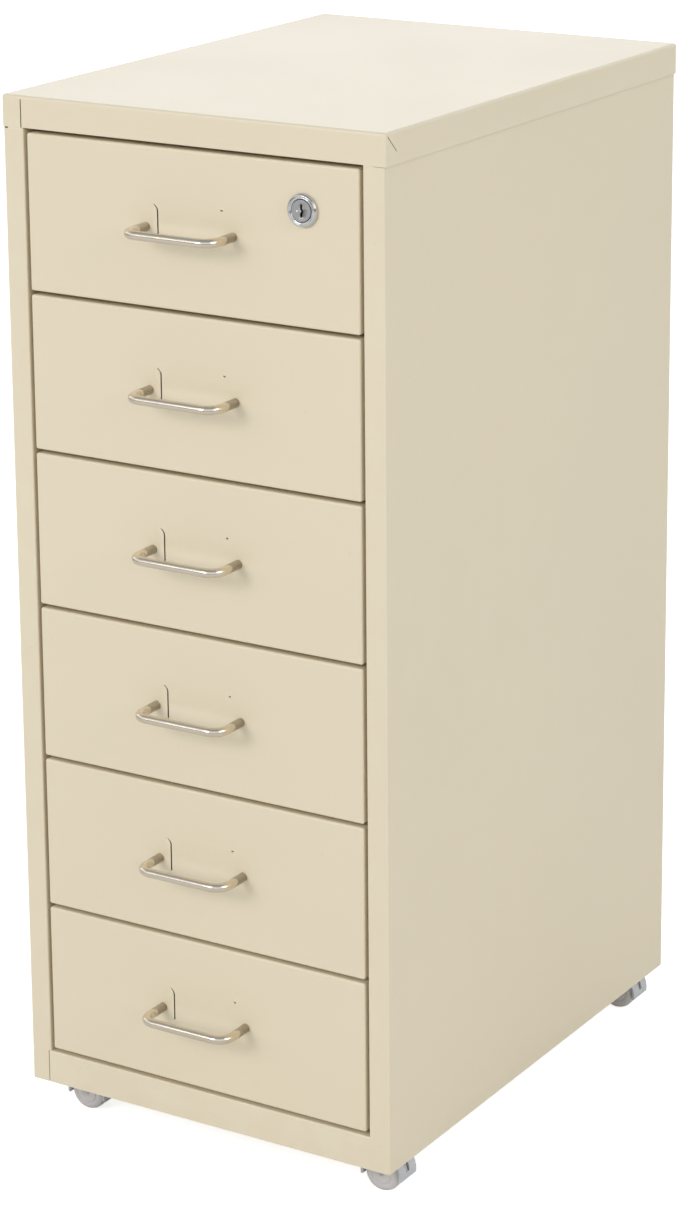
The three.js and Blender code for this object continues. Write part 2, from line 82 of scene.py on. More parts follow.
def remap(tree, value, fromLow, fromHigh, toLow, toHigh):
    node = tree.nodes.new("ShaderNodeMapRange")
    limits = (("From Min", fromLow), ("From Max", fromHigh), ("To Min", toLow), ("To Max", toHigh))
    for label, given in limits:
        if isinstance(given, (int, float)):
            node.inputs[label].default_value = given
        else:
            tree.links.new(given, node.inputs[label])
    tree.links.new(value, node.inputs["Value"])
    return node.outputs["Result"]


def calculate(tree, operation, first, second):
    node = tree.nodes.new("ShaderNodeMath")
    node.operation = operation
    for socket, given in zip(node.inputs, (first, second)):
        if isinstance(given, (int, float)):
            socket.default_value = given
        else:
            tree.links.new(given, socket)
    return node.outputs["Value"]


def blendColours(tree, factor, first, second, mode="MIX"):
    node = tree.nodes.new("ShaderNodeMix")
    node.data_type = "RGBA"
    node.blend_type = mode
    for socket, given in zip((node.inputs[0], node.inputs[6], node.inputs[7]), (factor, first, second)):
        if isinstance(given, (int, float)):
            socket.default_value = given
        elif isinstance(given, tuple):
            socket.default_value = (*given, 1)
        else:
            tree.links.new(given, socket)
    return node.outputs[2]


def objectCoordinates(tree, stretch=(1, 1, 1)):
    place = tree.nodes.new("ShaderNodeTexCoord")
    if stretch == (1, 1, 1):
        return place.outputs["Object"]
    mapping = tree.nodes.new("ShaderNodeMapping")
    mapping.inputs["Scale"].default_value = stretch
    tree.links.new(place.outputs["Object"], mapping.inputs["Vector"])
    return mapping.outputs["Vector"]


# Sprayed and baked powder: a fine orange peel, a slow drift of tone and a few nibs of dust under the skin
def makePowderSkin():
    group, given, out = startGroup(
        "powderSkin",
        [("Colour", "NodeSocketColor", (0.8, 0.7, 0.5, 1)), ("Peel Scale", "NodeSocketFloat", 900.0),
         ("Drift", "NodeSocketFloat", 0.03), ("Gloss", "NodeSocketFloat", 0.35)],
        [("Colour", "NodeSocketColor"), ("Roughness", "NodeSocketFloat"), ("Height", "NodeSocketFloat")],
    )
    where = objectCoordinates(group)
    peel = noise(group, where, given.outputs["Peel Scale"], 2.5, 0.55)
    sag = noise(group, where, 55.0, 2.0)
    slow = noise(group, where, 4.5, 3.0)
    drift = calculate(group, "MULTIPLY", remap(group, slow, 0.3, 0.7, -1.0, 1.0), given.outputs["Drift"])
    tone = calculate(group, "ADD", drift, 1.0)
    shade = group.nodes.new("ShaderNodeCombineColor")
    for socket in ("Red", "Green", "Blue"):
        group.links.new(tone, shade.inputs[socket])
    colour = blendColours(group, 1.0, given.outputs["Colour"], shade.outputs["Color"], "MULTIPLY")
    nibs = group.nodes.new("ShaderNodeTexVoronoi")
    nibs.inputs["Scale"].default_value = 48.0
    group.links.new(where, nibs.inputs["Vector"])
    speck = remap(group, nibs.outputs["Distance"], 0.02, 0.035, 1.0, 0.0)
    colour = blendColours(group, calculate(group, "MULTIPLY", speck, 0.22), colour, (0.42, 0.36, 0.26))
    group.links.new(colour, out.inputs["Colour"])
    rough = calculate(group, "ADD", given.outputs["Gloss"], remap(group, slow, 0.3, 0.7, -0.03, 0.04))
    fine = remap(group, peel, 0.3, 0.7, -0.02, 0.02)
    group.links.new(calculate(group, "ADD", rough, fine), out.inputs["Roughness"])
    height = calculate(group, "ADD", peel, calculate(group, "MULTIPLY", sag, 0.5))
    height = calculate(group, "ADD", height, calculate(group, "MULTIPLY", speck, 1.2))
    group.links.new(height, out.inputs["Height"])
    return group


# The crests of folds and rims, broken up in patches so that no edge is tinted evenly: where a finish gives
# its crests a lighter colour this is a painted highlight, where it gives a darker one it is wear
def makeCrestWearAndHighlightGroup():
    group, given, out = startGroup(
        "crestWearAndHighlightGroup",
        [("Start", "NodeSocketFloat", 0.53), ("Patch Scale", "NodeSocketFloat", 60.0),
         ("Amount", "NodeSocketFloat", 0.3)],
        [("Mask", "NodeSocketFloat")],
    )
    surface = group.nodes.new("ShaderNodeNewGeometry")
    crest = remap(group, surface.outputs["Pointiness"], given.outputs["Start"], 0.62, 0.0, 1.0)
    blotches = noise(group, objectCoordinates(group), given.outputs["Patch Scale"], 4.0)
    patches = remap(group, blotches, 0.42, 0.62, 0.0, 1.0)
    patchyCrest = calculate(group, "MULTIPLY", crest, patches)
    group.links.new(calculate(group, "MULTIPLY", patchyCrest, given.outputs["Amount"]), out.inputs["Mask"])
    return group


# A thin film that settles on whatever faces up
def makeSettledDust():
    group, given, out = startGroup(
        "settledDust",
        [("Amount", "NodeSocketFloat", 0.1), ("Scale", "NodeSocketFloat", 14.0)],
        [("Mask", "NodeSocketFloat")],
    )
    surface = group.nodes.new("ShaderNodeNewGeometry")
    parts = group.nodes.new("ShaderNodeSeparateXYZ")
    group.links.new(surface.outputs["Normal"], parts.inputs["Vector"])
    upward = remap(group, parts.outputs["Z"], 0.6, 1.0, 0.0, 1.0)
    drifts = noise(group, objectCoordinates(group), given.outputs["Scale"], 5.0, 0.6)
    cloud = remap(group, drifts, 0.35, 0.7, 0.2, 1.0)
    film = calculate(group, "MULTIPLY", upward, cloud)
    group.links.new(calculate(group, "MULTIPLY", film, given.outputs["Amount"]), out.inputs["Mask"])
    return group


# Fine lines left by drawing, rolling or turning, stretched along one direction of the piece
def makeToolLines():
    group, given, out = startGroup(
        "toolLines",
        [("Stretch", "NodeSocketVector", (1.0, 1.0, 1.0)), ("Scale", "NodeSocketFloat", 900.0)],
        [("Lines", "NodeSocketFloat"), ("Cloud", "NodeSocketFloat")],
    )
    place = group.nodes.new("ShaderNodeTexCoord")
    mapping = group.nodes.new("ShaderNodeMapping")
    group.links.new(place.outputs["Object"], mapping.inputs["Vector"])
    group.links.new(given.outputs["Stretch"], mapping.inputs["Scale"])
    lines = noise(group, mapping.outputs["Vector"], given.outputs["Scale"], 3.0, 0.6)
    group.links.new(lines, out.inputs["Lines"])
    group.links.new(noise(group, place.outputs["Object"], 70.0, 4.0), out.inputs["Cloud"])
    return group


powderSkin = makePowderSkin()
crestWearAndHighlightGroup = makeCrestWearAndHighlightGroup()
settledDust = makeSettledDust()
toolLines = makeToolLines()


def startMaterial(name):
    material = bpy.data.materials.new(name)
    material.use_nodes = True
    tree = material.node_tree
    return material, tree, tree.nodes["Principled BSDF"]


def useGroup(tree, group, **values):
    node = tree.nodes.new("ShaderNodeGroup")
    node.node_tree = group
    for label, value in values.items():
        node.inputs[label.replace("_", " ")].default_value = value
    return node


def addBump(tree, shader, height, strength, distance):
    bump = tree.nodes.new("ShaderNodeBump")
    bump.inputs["Strength"].default_value = strength
    bump.inputs["Distance"].default_value = distance
    tree.links.new(height, bump.inputs["Height"])
    tree.links.new(bump.outputs["Normal"], shader.inputs["Normal"])


def makePaint(name, look):
    material, tree, shader = startMaterial(name)
    skin = useGroup(tree, powderSkin, Colour=(*look["colour"], 1), Peel_Scale=look["peelScale"],
                    Drift=look["drift"], Gloss=look["gloss"])
    crestWearAndHighlight = useGroup(tree, crestWearAndHighlightGroup, Start=0.53, Patch_Scale=look["crestPatchScale"], Amount=look["crestWearAndHighlight"])
    dust = useGroup(tree, settledDust, Amount=look["dust"], Scale=11.0)
    # Crests take the crest colour: on the cream paint it is lighter, a painted highlight along rolled edges
    # and folds; on the tray paint it is darker, wear
    colour = blendColours(tree, crestWearAndHighlight.outputs["Mask"], skin.outputs["Colour"], look["crestHighlightAndWearColour"])
    colour = blendColours(tree, dust.outputs["Mask"], colour, look["dustColour"])
    tree.links.new(colour, shader.inputs["Base Color"])
    dulled = calculate(tree, "MULTIPLY", dust.outputs["Mask"], 0.5)
    rough = calculate(tree, "ADD", skin.outputs["Roughness"], dulled)
    tree.links.new(rough, shader.inputs["Roughness"])
    shader.inputs["Specular IOR Level"].default_value = look["shine"]
    shader.inputs["Coat Weight"].default_value = look["coat"]
    shader.inputs["Coat Roughness"].default_value = look["coatRoughness"]
    addBump(tree, shader, skin.outputs["Height"], look["bump"], mm(0.05))
    return material


def makeMetal(name, look):
    material, tree, shader = startMaterial(name)
    lines = useGroup(tree, toolLines, Stretch=look["stretch"], Scale=look["lineScale"])
    crestWearAndHighlight = useGroup(tree, crestWearAndHighlightGroup, Start=0.54, Patch_Scale=220.0, Amount=0.35)
    cloud = remap(tree, lines.outputs["Cloud"], 0.3, 0.7, 0.0, look["stain"])
    colour = blendColours(tree, cloud, look["colour"], look["stainColour"])
    # Crests take a lighter colour: a painted highlight along the metal's edges
    colour = blendColours(tree, crestWearAndHighlight.outputs["Mask"], colour, look["crestHighlightColour"])
    tree.links.new(colour, shader.inputs["Base Color"])
    shader.inputs["Metallic"].default_value = 1.0
    smooth, coarse = look["roughness"] - look["spread"], look["roughness"] + look["spread"]
    rough = remap(tree, lines.outputs["Lines"], 0.3, 0.7, smooth, coarse)
    rough = calculate(tree, "ADD", rough, calculate(tree, "MULTIPLY", cloud, 0.25))
    tree.links.new(rough, shader.inputs["Roughness"])
    addBump(tree, shader, lines.outputs["Lines"], look["bump"], mm(0.02))
    return material


def makePlastic(name, look):
    material, tree, shader = startMaterial(name)
    lines = useGroup(tree, toolLines, Stretch=(1.0, 1.0, 1.0), Scale=look["grainScale"])
    crestWearAndHighlight = useGroup(tree, crestWearAndHighlightGroup, Start=0.53, Patch_Scale=160.0, Amount=look["crestWearAndHighlight"])
    dust = useGroup(tree, settledDust, Amount=look["dust"], Scale=60.0)
    cloud = remap(tree, lines.outputs["Cloud"], 0.3, 0.7, 0.0, 1.0)
    colour = blendColours(tree, cloud, look["colour"], look["secondColour"])
    # Crests take the crest colour: lighter on the hood and the rib, a painted highlight; darker on the
    # wheels, wear
    colour = blendColours(tree, crestWearAndHighlight.outputs["Mask"], colour, look["crestHighlightAndWearColour"])
    colour = blendColours(tree, dust.outputs["Mask"], colour, (0.55, 0.52, 0.47))
    tree.links.new(colour, shader.inputs["Base Color"])
    shader.inputs["Metallic"].default_value = look["metallic"]
    rough = remap(tree, lines.outputs["Lines"], 0.3, 0.7, look["roughness"] - 0.05, look["roughness"] + 0.06)
    tree.links.new(rough, shader.inputs["Roughness"])
    addBump(tree, shader, lines.outputs["Lines"], look["bump"], mm(0.03))
    return material


# The crest colour is lighter than the cream: a painted highlight along the edges
creamPaint = makePaint("creamPowderCoat", {
    "colour": (0.79, 0.695, 0.51), "peelScale": 620.0, "drift": 0.014, "gloss": 0.34, "shine": 0.5,
    "coat": 0.12, "coatRoughness": 0.12, "bump": 0.16, "crestWearAndHighlight": 0.25, "crestPatchScale": 45.0,
    "crestHighlightAndWearColour": (0.86, 0.80, 0.64), "dust": 0.10, "dustColour": (0.80, 0.77, 0.69),
})
trayPaint = makePaint("trayPowderCoat", {
    "colour": (0.76, 0.665, 0.47), "peelScale": 700.0, "drift": 0.03, "gloss": 0.42, "shine": 0.5,
    "coat": 0.05, "coatRoughness": 0.2, "bump": 0.2, "crestWearAndHighlight": 0.5, "crestPatchScale": 70.0,
    "crestHighlightAndWearColour": (0.62, 0.57, 0.46), "dust": 0.22, "dustColour": (0.66, 0.62, 0.54),
})
nickelWire = makeMetal("nickelPlatedWire", {
    "colour": (0.76, 0.68, 0.56), "stainColour": (0.66, 0.57, 0.44), "crestHighlightColour": (0.88, 0.83, 0.75),
    "stain": 0.35, "stretch": (0.02, 0.3, 1.0), "lineScale": 1600.0,
    "roughness": 0.12, "spread": 0.03, "bump": 0.02,
})
brightChrome = makeMetal("brightChrome", {
    "colour": (0.66, 0.66, 0.655), "stainColour": (0.50, 0.49, 0.47), "crestHighlightColour": (0.86, 0.86, 0.86),
    "stain": 0.3, "stretch": (1.0, 0.2, 1.0), "lineScale": 1500.0,
    "roughness": 0.09, "spread": 0.03, "bump": 0.05,
})
castFace = makeMetal("castPlugFace", {
    "colour": (0.46, 0.46, 0.455), "stainColour": (0.34, 0.33, 0.32), "crestHighlightColour": (0.72, 0.72, 0.71),
    "stain": 0.5, "stretch": (1.0, 1.0, 1.0), "lineScale": 2400.0,
    "roughness": 0.33, "spread": 0.1, "bump": 0.35,
})
# Near-black finish for the keyway: painted shade inside the narrow slot
keywayPaintedShade = makeMetal("keywayShadow", {
    "colour": (0.05, 0.048, 0.045), "stainColour": (0.02, 0.02, 0.02), "crestHighlightColour": (0.10, 0.10, 0.10),
    "stain": 0.5, "stretch": (1.0, 1.0, 1.0), "lineScale": 2400.0,
    "roughness": 0.5, "spread": 0.1, "bump": 0.2,
})
zincPlate = makeMetal("brightZinc", {
    "colour": (0.62, 0.63, 0.64), "stainColour": (0.50, 0.49, 0.43), "crestHighlightColour": (0.8, 0.8, 0.8),
    "stain": 0.6, "stretch": (1.0, 0.05, 1.0), "lineScale": 1400.0,
    "roughness": 0.34, "spread": 0.08, "bump": 0.2,
})
hoodPlastic = makePlastic("silverHood", {
    "colour": (0.56, 0.575, 0.585), "secondColour": (0.64, 0.65, 0.66), "crestHighlightAndWearColour": (0.80, 0.80, 0.80),
    "crestWearAndHighlight": 0.6,
    "dust": 0.2, "metallic": 0.25, "roughness": 0.3, "grainScale": 1300.0, "bump": 0.15,
})
wheelPlastic = makePlastic("mauveWheel", {
    "colour": (0.60, 0.57, 0.555), "secondColour": (0.66, 0.63, 0.61), "crestHighlightAndWearColour": (0.50, 0.47, 0.45),
    "crestWearAndHighlight": 0.5,
    "dust": 0.2, "metallic": 0.0, "roughness": 0.38, "grainScale": 1100.0, "bump": 0.25,
})
# The rib is paler than the hood and the wheels: its colour is a painted highlight where it shows in the
# hood's slot
ribHighlightPlastic = makePlastic("paleRibHighlight", {
    "colour": (0.78, 0.78, 0.77), "secondColour": (0.70, 0.70, 0.69), "crestHighlightAndWearColour": (0.85, 0.85, 0.85),
    "crestWearAndHighlight": 0.4,
    "dust": 0.1, "metallic": 0.0, "roughness": 0.35, "grainScale": 1100.0, "bump": 0.15,
})
print("finishes made")


# Workshop helpers

def blockBetween(bm, low, high):
    size = Matrix.Diagonal((high.x - low.x, high.y - low.y, high.z - low.z, 1))
    made = bmesh.ops.create_cube(bm, size=1, matrix=Matrix.Translation((low + high) / 2) @ size)
    bm.normal_update()
    return made["verts"]


def facesTowards(bm, direction):
    bm.normal_update()
    way = Vector(direction)
    return sorted((f for f in bm.faces if f.normal.dot(way) > 0.999), key=lambda f: -f.calc_area())


def edgesWhere(bm, test):
    return [e for e in bm.edges if all(test(v.co) for v in e.verts)]


def near(value, target):
    return abs(value - target) < 1e-6


def cutAcross(bm, faces, point, normal):
    parts = {item for face in faces for item in (face, *face.edges, *face.verts)}
    bmesh.ops.bisect_plane(bm, geom=list(parts), plane_co=point, plane_no=normal, dist=1e-7)
    bm.normal_update()


def dropFaces(bm, faces):
    bmesh.ops.delete(bm, geom=faces, context="FACES")


def wire(bm, points, closed=False):
    corners = [bm.verts.new(point) for point in points]
    ends = corners[1:] + corners[:1] if closed else corners[1:]
    return [bm.edges.new(pair) for pair in zip(corners, ends)]


def pull(bm, edges, offset):
    made = bmesh.ops.extrude_edge_only(bm, edges=edges)["geom"]
    moved = {item for item in made if isinstance(item, bmesh.types.BMVert)}
    bmesh.ops.translate(bm, verts=list(moved), vec=offset)
    return [e for e in bm.edges if e.verts[0] in moved and e.verts[1] in moved]


def roundEdges(bm, edges, radius, segments=4):
    bmesh.ops.bevel(bm, geom=edges, offset=radius, offset_type="OFFSET", affect="EDGES",
                    segments=segments, profile=0.5, material=-1)
    bm.normal_update()


def roundedWire(bm, points, radius, segments, closed):
    before = set(bm.edges)
    edges = wire(bm, points, closed)
    corners = {v for e in edges for v in e.verts if len(v.link_edges) == 2}
    bmesh.ops.bevel(bm, geom=list(corners), offset=radius, affect="VERTICES",
                    segments=segments, profile=0.5, material=-1)
    return [e for e in bm.edges if e not in before]


def turnOutwards(bm, direction):
    bm.normal_update()
    widest = max(bm.faces, key=lambda f: f.calc_area() * abs(f.normal.dot(Vector(direction))))
    bmesh.ops.recalc_face_normals(bm, faces=bm.faces[:])
    if widest.normal.dot(Vector(direction)) < 0:
        bmesh.ops.reverse_faces(bm, faces=bm.faces[:])
    bm.normal_update()


def giveThickness(bm, sheet):
    bmesh.ops.solidify(bm, geom=bm.faces[:], thickness=sheet)
    bm.normal_update()


# A strip that follows a path, pulled along one direction, folded with rounds and given the sheet's thickness
def foldedSheet(path, run, radius, sheet, outside, segments=4):
    bm = bmesh.new()
    pull(bm, wire(bm, path), run)
    folds = [e for e in bm.edges if len(e.link_faces) == 2]
    roundEdges(bm, folds, radius, segments)
    turnOutwards(bm, outside)
    if sheet:
        giveThickness(bm, sheet)
    return bm


def spinAbout(bm, profile, centre, axis, turn=360, steps=48):
    whole = turn == 360
    geometry = list({v for e in profile for v in e.verts}) + profile
    made = bmesh.ops.spin(bm, geom=geometry, cent=centre, axis=axis, dvec=(0, 0, 0), angle=math.radians(turn),
                          steps=steps, use_merge=whole, use_duplicate=False)
    return made["geom_last"]


def addInto(bm, other):
    spare = bpy.data.meshes.new("spare")
    other.to_mesh(spare)
    other.free()
    bm.from_mesh(spare)
    bpy.data.meshes.remove(spare)


def addPiece(name, bm, material, body, stands=(), soft=0, outward=True):
    bmesh.ops.remove_doubles(bm, verts=bm.verts[:], dist=2e-6)
    bmesh.ops.dissolve_degenerate(bm, dist=1e-6, edges=bm.edges[:])
    if outward:
        bmesh.ops.recalc_face_normals(bm, faces=bm.faces[:])
    for face in bm.faces:
        face.smooth = True
    mesh = bpy.data.meshes.new(name)
    bm.to_mesh(mesh)
    bm.free()
    for finish in material if isinstance(material, tuple) else (material,):
        mesh.materials.append(finish)
    piece = bpy.data.objects.new(name, mesh)
    scene.collection.objects.link(piece)
    if soft:
        bevel = piece.modifiers.new("softEdges", "BEVEL")
        bevel.width = soft
        bevel.segments = 2
        bevel.limit_method = "ANGLE"
        bevel.angle_limit = math.radians(40)
        bevel.harden_normals = False
    piece.modifiers.new("evenShading", "WEIGHTED_NORMAL").keep_sharp = True
    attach(piece, body)
    if stands:
        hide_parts(*stands)
    return piece


coverLook = {
    "sheet": mm(0.8),
    "edgeRadius": mm(2.0),
    "returnDepth": mm(14),
    "lipHeight": mm(8),
    "foldRadius": mm(0.9),
    "endGap": mm(0.3),
    "slitFromLeft": mm(14.7),
    "slitWidth": mm(0.8),
    "slitClear": mm(2.3),
    "mitreFrom": mm(2.2),
    "mitreTo": mm(12.5),
    "mitreWidth": mm(0.7),
    "mitreMargin": mm(3),
}


# Top pan: front flange with its return and catch lip, a slit at the left corner and a mitre at the right one
def makeTopCover():
    look = coverLook
    low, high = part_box("top_cover")
    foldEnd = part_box("right_side_panel")[0].x - look["endGap"]
    bm = bmesh.new()
    blockBetween(bm, low, high)
    dropFaces(bm, facesTowards(bm, (0, 0, -1)))
    sharp = [e for e in bm.edges if len(e.link_faces) == 2]
    roundEdges(bm, sharp, look["edgeRadius"], 6)
    slitX = low.x + look["slitFromLeft"]
    slitSides = (slitX - look["slitWidth"] / 2, slitX + look["slitWidth"] / 2)
    for x in (*slitSides, -foldEnd, foldEnd):
        cutAcross(bm, facesTowards(bm, (0, -1, 0)), (x, 0, 0), (1, 0, 0))
    slit = [f for f in facesTowards(bm, (0, -1, 0)) if slitSides[0] < f.calc_center_median().x < slitSides[1]]
    cutAcross(bm, slit, (0, 0, high.z - look["slitClear"]), (0, 0, 1))
    dropFaces(bm, [f for f in facesTowards(bm, (0, -1, 0))
                   if slitSides[0] < f.calc_center_median().x < slitSides[1]
                   and f.calc_center_median().z < high.z - look["slitClear"]])
    cutMitre(bm, low, high)
    rim = edgesWhere(bm, lambda co: near(co.z, low.z) and near(co.y, low.y) and abs(co.x) < foldEnd + 1e-6)
    back = pull(bm, rim, (0, look["returnDepth"], 0))
    pull(bm, back, (0, 0, look["lipHeight"]))
    folds = [e for e in bm.edges if len(e.link_faces) == 2
             and all(near(v.co.z, low.z) and v.co.y < low.y + look["returnDepth"] + 1e-6 for v in e.verts)
             and abs(e.verts[0].co.x - e.verts[1].co.x) > mm(1)]
    roundEdges(bm, folds, look["foldRadius"], 3)
    turnOutwards(bm, (0, 0, 1))
    giveThickness(bm, look["sheet"])
    addPiece("topCoverSheet", bm, creamPaint, "cabinet", ["top_cover"])


def cutMitre(bm, low, high):
    look = coverLook
    slope = Vector((0, 1, 1)).normalized()
    corner = Vector((high.x, low.y, high.z))
    cornerY = low.y + look["mitreTo"] + look["mitreMargin"]
    cutAcross(bm, facesTowards(bm, (1, 0, 0)), (0, cornerY, 0), (0, 1, 0))

    def nearCorner():
        return [f for f in facesTowards(bm, (1, 0, 0)) if f.calc_center_median().y < cornerY]

    for offset in (-look["mitreWidth"] / 2, look["mitreWidth"] / 2):
        cutAcross(bm, nearCorner(), corner + slope * offset, slope)

    def inSlit(face):
        return abs((face.calc_center_median() - corner).dot(slope)) < look["mitreWidth"] / 2

    run = Vector((0, 1, -1)).normalized()
    for reach in (look["mitreFrom"], look["mitreTo"]):
        cutAcross(bm, [f for f in nearCorner() if inSlit(f)], corner + run * reach * math.sqrt(2), run)
    for face in [f for f in nearCorner() if inSlit(f)]:
        along = (face.calc_center_median() - corner).dot(run) / math.sqrt(2)
        if look["mitreFrom"] < along < look["mitreTo"]:
            dropFaces(bm, [face])


panelLook = {
    "sheet": mm(0.8),
    "foldRadius": mm(1.2),
    "hem": mm(12),
    "backFlange": mm(13),
    "cornerNotch": (mm(15), mm(3)),  # back from the front and up from the edge of the cover's flange
    "bendSpare": 1e-5,  # keeps the slit's test clear of the fold's last edge
    "topSlit": {-1: (mm(3.6), mm(0.9)), 1: (mm(7.3), mm(0.25))},  # length and height of the open part
    "footSeam": {-1: mm(1.9), 1: mm(1.2)},  # from the stile's inner edge to the seam beside the rail
    "footGap": {-1: mm(0.6), 1: 0.0},
}


# Side sheet folded into the front stile, cut away below for the rail and above for the cover's flange
def makeSidePanel(side):
    look = panelLook
    name = "right_side_panel" if side > 0 else "left_side_panel"
    low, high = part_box(name)
    outer, inner = (high.x, low.x) if side > 0 else (low.x, high.x)
    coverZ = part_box("top_cover")[0].z
    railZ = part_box("base_panel")[1].z
    path = [(inner, low.y + look["hem"], low.z), (inner, low.y, low.z), (outer, low.y, low.z),
            (outer, high.y, low.z), (outer - side * look["backFlange"], high.y, low.z)]
    bm = foldedSheet(path, (0, 0, high.z - low.z), look["foldRadius"], 0, (side, 0, 0), 5)
    length, gap = look["topSlit"][side]
    for z in (coverZ, coverZ - gap, railZ):
        cutAcross(bm, bm.faces[:], (0, 0, z), (0, 0, 1))
    seamX = inner + side * look["footSeam"][side]
    slitX = outer - side * length
    for x in (seamX, slitX):
        cutAcross(bm, facesTowards(bm, (0, -1, 0)), (x, 0, 0), (1, 0, 0))
    bendY = low.y + look["foldRadius"] - look["bendSpare"]
    notchY, notchZ = low.y + look["cornerNotch"][0], coverZ + look["cornerNotch"][1]
    cutAcross(bm, bm.faces[:], (0, 0, notchZ), (0, 0, 1))
    cutAcross(bm, [f for f in bm.faces if f.calc_center_median().z > notchZ], (0, notchY, 0), (0, 1, 0))

    def cutAway(face):
        at = face.calc_center_median()
        if at.z > notchZ and at.y < notchY:
            return True
        if at.z > coverZ:
            return at.y < low.y + look["hem"]
        if at.z > coverZ - gap:
            return side * (at.x - slitX) > 0 and at.y < bendY
        return at.z < railZ and side * (at.x - seamX) < 0 and at.y < low.y + look["hem"]

    dropFaces(bm, [f for f in bm.faces if cutAway(f)])
    bm.normal_update()
    giveThickness(bm, look["sheet"])
    pieceName = name.replace("_side_panel", "SidePanel") + "Sheet"
    addPiece(pieceName, bm, creamPaint, "cabinet", [name])


baseLook = {
    "sheet": mm(0.8),
    "foldRadius": mm(1.0),
    "skirt": mm(15),
    "tongueDepth": mm(12.6),
}


# Cabinet floor. Its front edge turns down as the rail, the others as stiffening skirts
def makeBasePanel():
    look = baseLook
    low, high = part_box("base_panel")
    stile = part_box("right_side_panel")[0].x
    seams = panelLook["footSeam"]
    left = -stile - seams[-1] + panelLook["footGap"][-1]
    right = stile + seams[1]
    tongueY = low.y + look["tongueDepth"]
    bm = bmesh.new()
    outline = wire(bm, [(x, y, high.z) for x, y in (
        (left, low.y), (right, low.y), (right, tongueY), (high.x, tongueY), (high.x, high.y),
        (low.x, high.y), (low.x, tongueY), (left, tongueY))], closed=True)
    bmesh.ops.contextual_create(bm, geom=outline)
    front = edgesWhere(bm, lambda co: near(co.y, low.y))
    skirts = [edgesWhere(bm, lambda co: near(co.y, high.y)),
              edgesWhere(bm, lambda co: near(co.x, high.x)), edgesWhere(bm, lambda co: near(co.x, low.x))]
    pull(bm, front, (0, 0, low.z - high.z))
    for group in skirts:
        pull(bm, group, (0, 0, -look["skirt"]))
    bmesh.ops.remove_doubles(bm, verts=bm.verts[:], dist=1e-7)
    folds = [e for e in bm.edges if len(e.link_faces) == 2
             and near(e.verts[0].co.z, high.z) and near(e.verts[1].co.z, high.z)]
    roundEdges(bm, folds, look["foldRadius"], 4)
    turnOutwards(bm, (0, 0, 1))
    giveThickness(bm, look["sheet"])
    addPiece("baseSheet", bm, creamPaint, "cabinet", ["base_panel"])


backLook = {
    "weldRadius": mm(2.6),
    "weldDepth": mm(0.18),
    "weldSink": mm(0.1),
    "weldSoft": mm(0.05),
    "weldInset": mm(7),
    "weldPitch": mm(88),
}


# Back sheet, with the shallow marks of the spot welds that hold it to the side panels' flanges
def makeBackPanel():
    look = backLook
    low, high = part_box("back_panel")
    bm = bmesh.new()
    blockBetween(bm, low, high)
    addPiece("backSheet", bm, creamPaint, "cabinet", ["back_panel"], soft=mm(0.15))
    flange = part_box("right_side_panel")[1]
    marks = bmesh.new()
    radius, depth = look["weldRadius"], look["weldDepth"]
    outline = ((radius, -look["weldSink"]), (radius, depth * 0.4), (radius * 0.55, depth), (0, depth * 0.6))
    count = int((high.z - low.z - 2 * look["weldInset"]) / look["weldPitch"])
    spare = (high.z - low.z - count * look["weldPitch"]) / 2
    for side in (-1, 1):
        for step in range(count + 1):
            height = low.z + spare + step * look["weldPitch"]
            centre = Vector((side * (flange.x - look["weldInset"]), flange.y, height))
            profile = roundedWire(marks, [centre + Vector((across, out, 0)) for across, out in outline],
                                  look["weldSoft"], 2, False)
            spinAbout(marks, profile, centre, (0, 1, 0), steps=20)
    capOpenLoops(marks)
    addPiece("backSpotWelds", marks, creamPaint, "cabinet")


def capOpenLoops(bm):
    bmesh.ops.remove_doubles(bm, verts=bm.verts[:], dist=1e-7)
    openEdges = [e for e in bm.edges if len(e.link_faces) == 1]
    if openEdges:
        bmesh.ops.holes_fill(bm, edges=openEdges, sides=0)


makeTopCover()
for side in (-1, 1):
    makeSidePanel(side)
makeBasePanel()
makeBackPanel()
print("cabinet body made")


frontLook = {
    "sheet": mm(0.8),
    "edgeRadius": mm(1.6),
    "holder": {"left": mm(-28.6), "right": mm(26.8), "bottom": mm(-8.6), "top": mm(21)},
    "holderCorner": mm(4),
    "holderRise": mm(0.32),
    "holderSlope": mm(1.5),
    "slitPath": [(-23.5, -7.0), (-23.5, 10.8), (-23.8, 12.1), (-24.5, 13.2), (-25.6, 14.2), (-26.4, 14.7)],
    "slitWidth": mm(1.1),
    "tabPath": [(23.4, 15.2), (23.4, 16.1)],
    "tabWidth": mm(2.0),
    "lockLip": mm(1.2),
    "lockSquare": mm(12),
}


def flatFaces(bm, y):
    return [f for f in facesTowards(bm, (0, -1, 0)) if abs(f.calc_center_median().y - y) < mm(0.02)]


# Cuts a narrow opening that follows a rising path and gives back the edges round it
def cutRibbon(bm, centre, path, width):
    points = [centre + Vector((mm(x), 0, mm(z))) for x, z in path]
    for point in points:
        cutAcross(bm, flatFaces(bm, centre.y), point, (0, 0, 1))
    opened = []
    for first, second in zip(points, points[1:]):
        along = second - first
        across = Vector((along.z, 0, -along.x)).normalized()

        def strip():
            return [f for f in flatFaces(bm, centre.y) if first.z < f.calc_center_median().z < second.z]

        for shift in (0.0, width):
            cutAcross(bm, strip(), first + Vector((shift, 0, 0)), across)
        reach = width * across.x
        opened += [f for f in strip() if 0 < (f.calc_center_median() - first).dot(across) < reach]
    around = {e for f in opened for e in f.edges}
    dropFaces(bm, opened)
    return [e for e in around if e.is_valid and len(e.link_faces) == 1]


